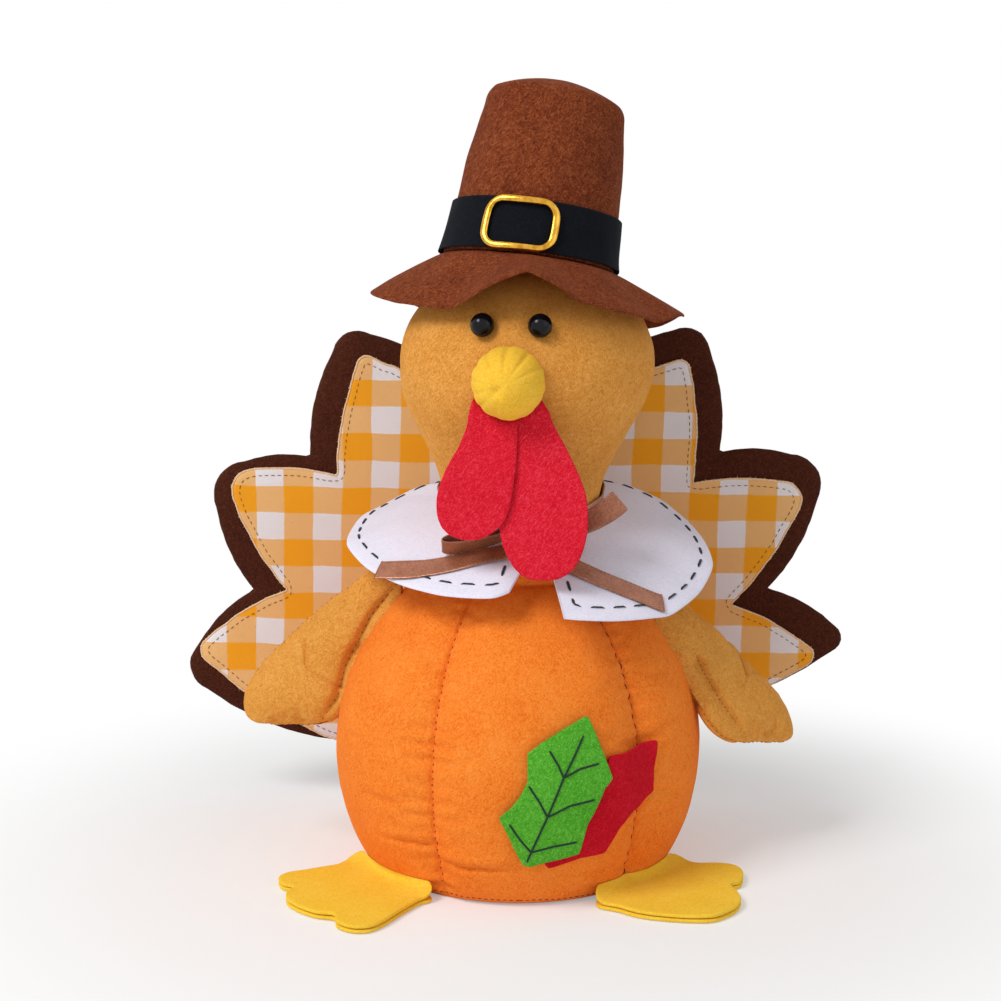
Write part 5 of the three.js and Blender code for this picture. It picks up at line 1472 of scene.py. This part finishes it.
# how far across and along the foot, as shares of its width and length
LEFT_FOOT = [
    (-0.42, 0), (0.29, 0), (0.36, 0.18), (0.42, 0.4), (0.5, 0.66), (0.52, 0.82), (0.46, 0.93),
    (0.34, 0.96), (0.23, 0.89), (0.14, 0.97), (0, 1.01), (-0.14, 1), (-0.25, 0.92), (-0.31, 0.8),
    (-0.4, 0.83), (-0.5, 0.78), (-0.53, 0.66), (-0.5, 0.5), (-0.46, 0.25)]
RIGHT_FOOT = [
    (-0.36, 0), (0.4, 0), (0.45, 0.28), (0.44, 0.49), (0.36, 0.73), (0.24, 0.95), (0.1, 1),
    (-0.02, 0.99), (-0.14, 0.92), (-0.23, 0.79), (-0.29, 0.69), (-0.36, 0.72), (-0.43, 0.69),
    (-0.53, 0.61), (-0.59, 0.5), (-0.575, 0.37), (-0.48, 0.21)]
foot_felt = fibre_cloth("foot_felt", (236, 180, 40), (248, 204, 56), (253, 221, 96),
                        grain=1.0, sheen=0.2, depth=0.12, fleck=0.35, mottle=0.12, strands=0.2)
for name, side, shares in (("left_foot", -1, LEFT_FOOT), ("right_foot", 1, RIGHT_FOOT)):
    turn = Matrix.Rotation(math.radians(-side * (180 - FOOT_TURN)), 3, "Z")
    outline = [Vector((side * u * FOOT_WIDTH, HEEL_REACH + v * FOOT_LENGTH)) for u, v in shares]
    heel = [outline[0].lerp(outline[1], k / 6) for k in range(6)]
    line = even(heel + closed_curve(outline, 6)[6:], 150)
    centre = (side * -0.03 * FOOT_WIDTH, HEEL_REACH + 0.5 * FOOT_LENGTH)
    for layer, bottom in (("sole", 0.0), ("upper", FOOT_FELT + 0.3)):
        upper = layer == "upper"

        def laid_flat(q, height):
            back = max(0.0, 1 - (q.y - HEEL_REACH) / HEEL_TURN_UP) if upper else 0.0
            wave = max(-0.2, 0.3 * wander(q.x / 12, q.y / 12, bottom)) if upper and height else 0.0
            p = turn @ Vector((q.x, q.y, bottom + height + HEEL_RISE * back ** 2 + wave))
            if back > 0:
                hit, _ = on_body(math.degrees(math.atan2(p.x, -p.y)), max(1.2, p.z), 0.25)
                near, far = math.hypot(hit.x, hit.y), math.hypot(p.x, p.y)
                if far < near:
                    p.x, p.y = p.x * near / far, p.y * near / far
            return p
        cut = felt_cut(line, centre, FOOT_FELT, laid_flat, rounding=0.4)
        piece = sewn(f"{name}_{layer}_felt", *cut, foot_felt, None, "yellow_felt")
        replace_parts(piece, f"{name}_{layer}")
        flat_cut(line)
        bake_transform(piece)

# Leaves: a crimson and a green leaf cut from thin felt, glued one over the other on the body's
# front. The green one has its veins drawn in dark green stitches.
LEAF_FELT = 1
# slot, length, half width, azimuth, base height, tilt, layer, and each side as shares of length and
# half width
LEAVES = {
    "red_leaf": ("crimson_felt", 56, 14, 8.5, 16.5, 48.5, 0,
        [(0, 0.08), (0.15, 0.6), (0.28, 0.95), (0.4, 0.7), (0.55, 0.72), (0.7, 1), (0.8, 0.62),
         (0.9, 0.38), (1, 0.03)],
        [(0, 0.08), (0.17, 0.4), (0.3, 0.8), (0.37, 0.72), (0.46, 0.6), (0.58, 0.6), (0.72, 0.8),
         (0.78, 0.8), (0.87, 0.38), (1, 0.03)]),
    "green_leaf": ("green_felt", 53, 15, 2, 17.5, 22, 1,
        [(0, 0.08), (0.09, 0.4), (0.17, 0.67), (0.245, 0.95), (0.33, 0.81), (0.42, 0.74), (0.52, 0.72),
         (0.6, 0.84), (0.68, 0.95), (0.77, 0.75), (0.88, 0.44), (1, 0.03)],
        [(0, 0.08), (0.05, 0.3), (0.18, 0.98), (0.26, 0.92), (0.37, 0.84), (0.46, 0.87), (0.55, 0.88),
         (0.62, 0.88), (0.69, 0.98), (0.79, 0.67), (0.92, 0.28), (1, 0.03)])}
leaf_felts = {
    "crimson_felt": fibre_cloth("crimson_felt", (162, 3, 22), (198, 8, 32), (216, 38, 58),
                                grain=1.0, sheen=0.2, depth=0.16, fleck=0.4, mottle=0.1, strands=0.2),
    "green_felt": fibre_cloth("green_felt", (52, 132, 26), (78, 168, 40), (128, 206, 84),
                              grain=1.0, sheen=0.2, depth=0.16, fleck=0.38, mottle=0.1, strands=0.18)}
LEAF_GAP, LEAF_SPAN, LOWEST = 0.25, 4.0, 2.0


def bulge_at(height):
    """Radius of the plain stuffed body at a height."""
    rise = min(1, abs(height - BODY_WAIST) / (BODY_RISE if height > BODY_WAIST else BODY_FALL))
    return BODY_RADIUS * math.sqrt(1 - rise * rise)


def on_leaf(arc, height, lift):
    """On the body's cover, smoothed as a flat leaf smooths it, at an arc length and a height."""
    azimuth = math.degrees(arc / BODY_RADIUS)
    reach = 0.0
    for along in (-LEAF_SPAN, 0, LEAF_SPAN):
        for up in (-LEAF_SPAN, 0, LEAF_SPAN):
            level = max(LOWEST, height + up)
            hit, _ = on_body(azimuth + math.degrees(along / BODY_RADIUS), level)
            reach = max(reach, math.hypot(hit.x, hit.y) - bulge_at(level) + bulge_at(height))
    return around(azimuth, reach + lift, height)


for name, (slot, length, half, azimuth, base, tilt, layer, left, right) in LEAVES.items():
    tilt = math.radians(tilt)
    outline = [Vector((w * half, v * length)) for v, w in right]
    outline += [Vector((-w * half, v * length)) for v, w in reversed(left)]
    line = even(outline, 140)
    start = math.radians(azimuth) * BODY_RADIUS
    lift = LEAF_GAP + layer * (LEAF_FELT + LEAF_GAP) + 0.15

    def on_front(q, height):
        return on_leaf(start + q.y * math.sin(tilt) + q.x * math.cos(tilt),
                       base + q.y * math.cos(tilt) - q.x * math.sin(tilt), lift + height)
    cut = felt_cut(line, (0, length * 0.47), LEAF_FELT, on_front, rounding=0.3, ragged=0.1,
                   inner=(0.2, 0.4, 0.6, 0.8, 0.93))
    piece = sewn(name + "_felt", *cut, leaf_felts[slot], "body", slot)
    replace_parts(piece, name)
    flat_cut(line)
vein_thread = spun("vein_thread", (8, 30, 20), (22, 66, 40), roughness=0.85)
VEIN_LIFT = 2 * (LEAF_GAP + LEAF_FELT) + 0.22
VEINS = [[(2.4, 19.1), (3.7, 22.8), (8.4, 35.2), (13.2, 48.1), (20, 61)],
         [(3.7, 22.8), (0.2, 27.5), (-2.9, 32.9)], [(3.7, 22.8), (10.5, 24.6), (18, 25.6)],
         [(8.4, 35.2), (6.1, 40.2), (2.8, 45.9)], [(8.4, 35.2), (15.2, 38.6), (23.1, 39.8)],
         [(13.2, 48.1), (11.6, 52.3), (9.1, 57)], [(13.2, 48.1), (18.5, 50.6), (24.6, 51.6)]]
vein_runs = []
for vein in VEINS:
    line = [on_leaf(p.x, p.y, VEIN_LIFT) for p in even(vein, len(vein) * 8, closed=False)]
    vein_runs.append((line, [Vector((p.x, p.y, 0)).normalized() for p in line]))
threads("green_leaf_veins", vein_runs, 0.75, vein_thread, "body", "green_felt", sides=7, flat=0.7)
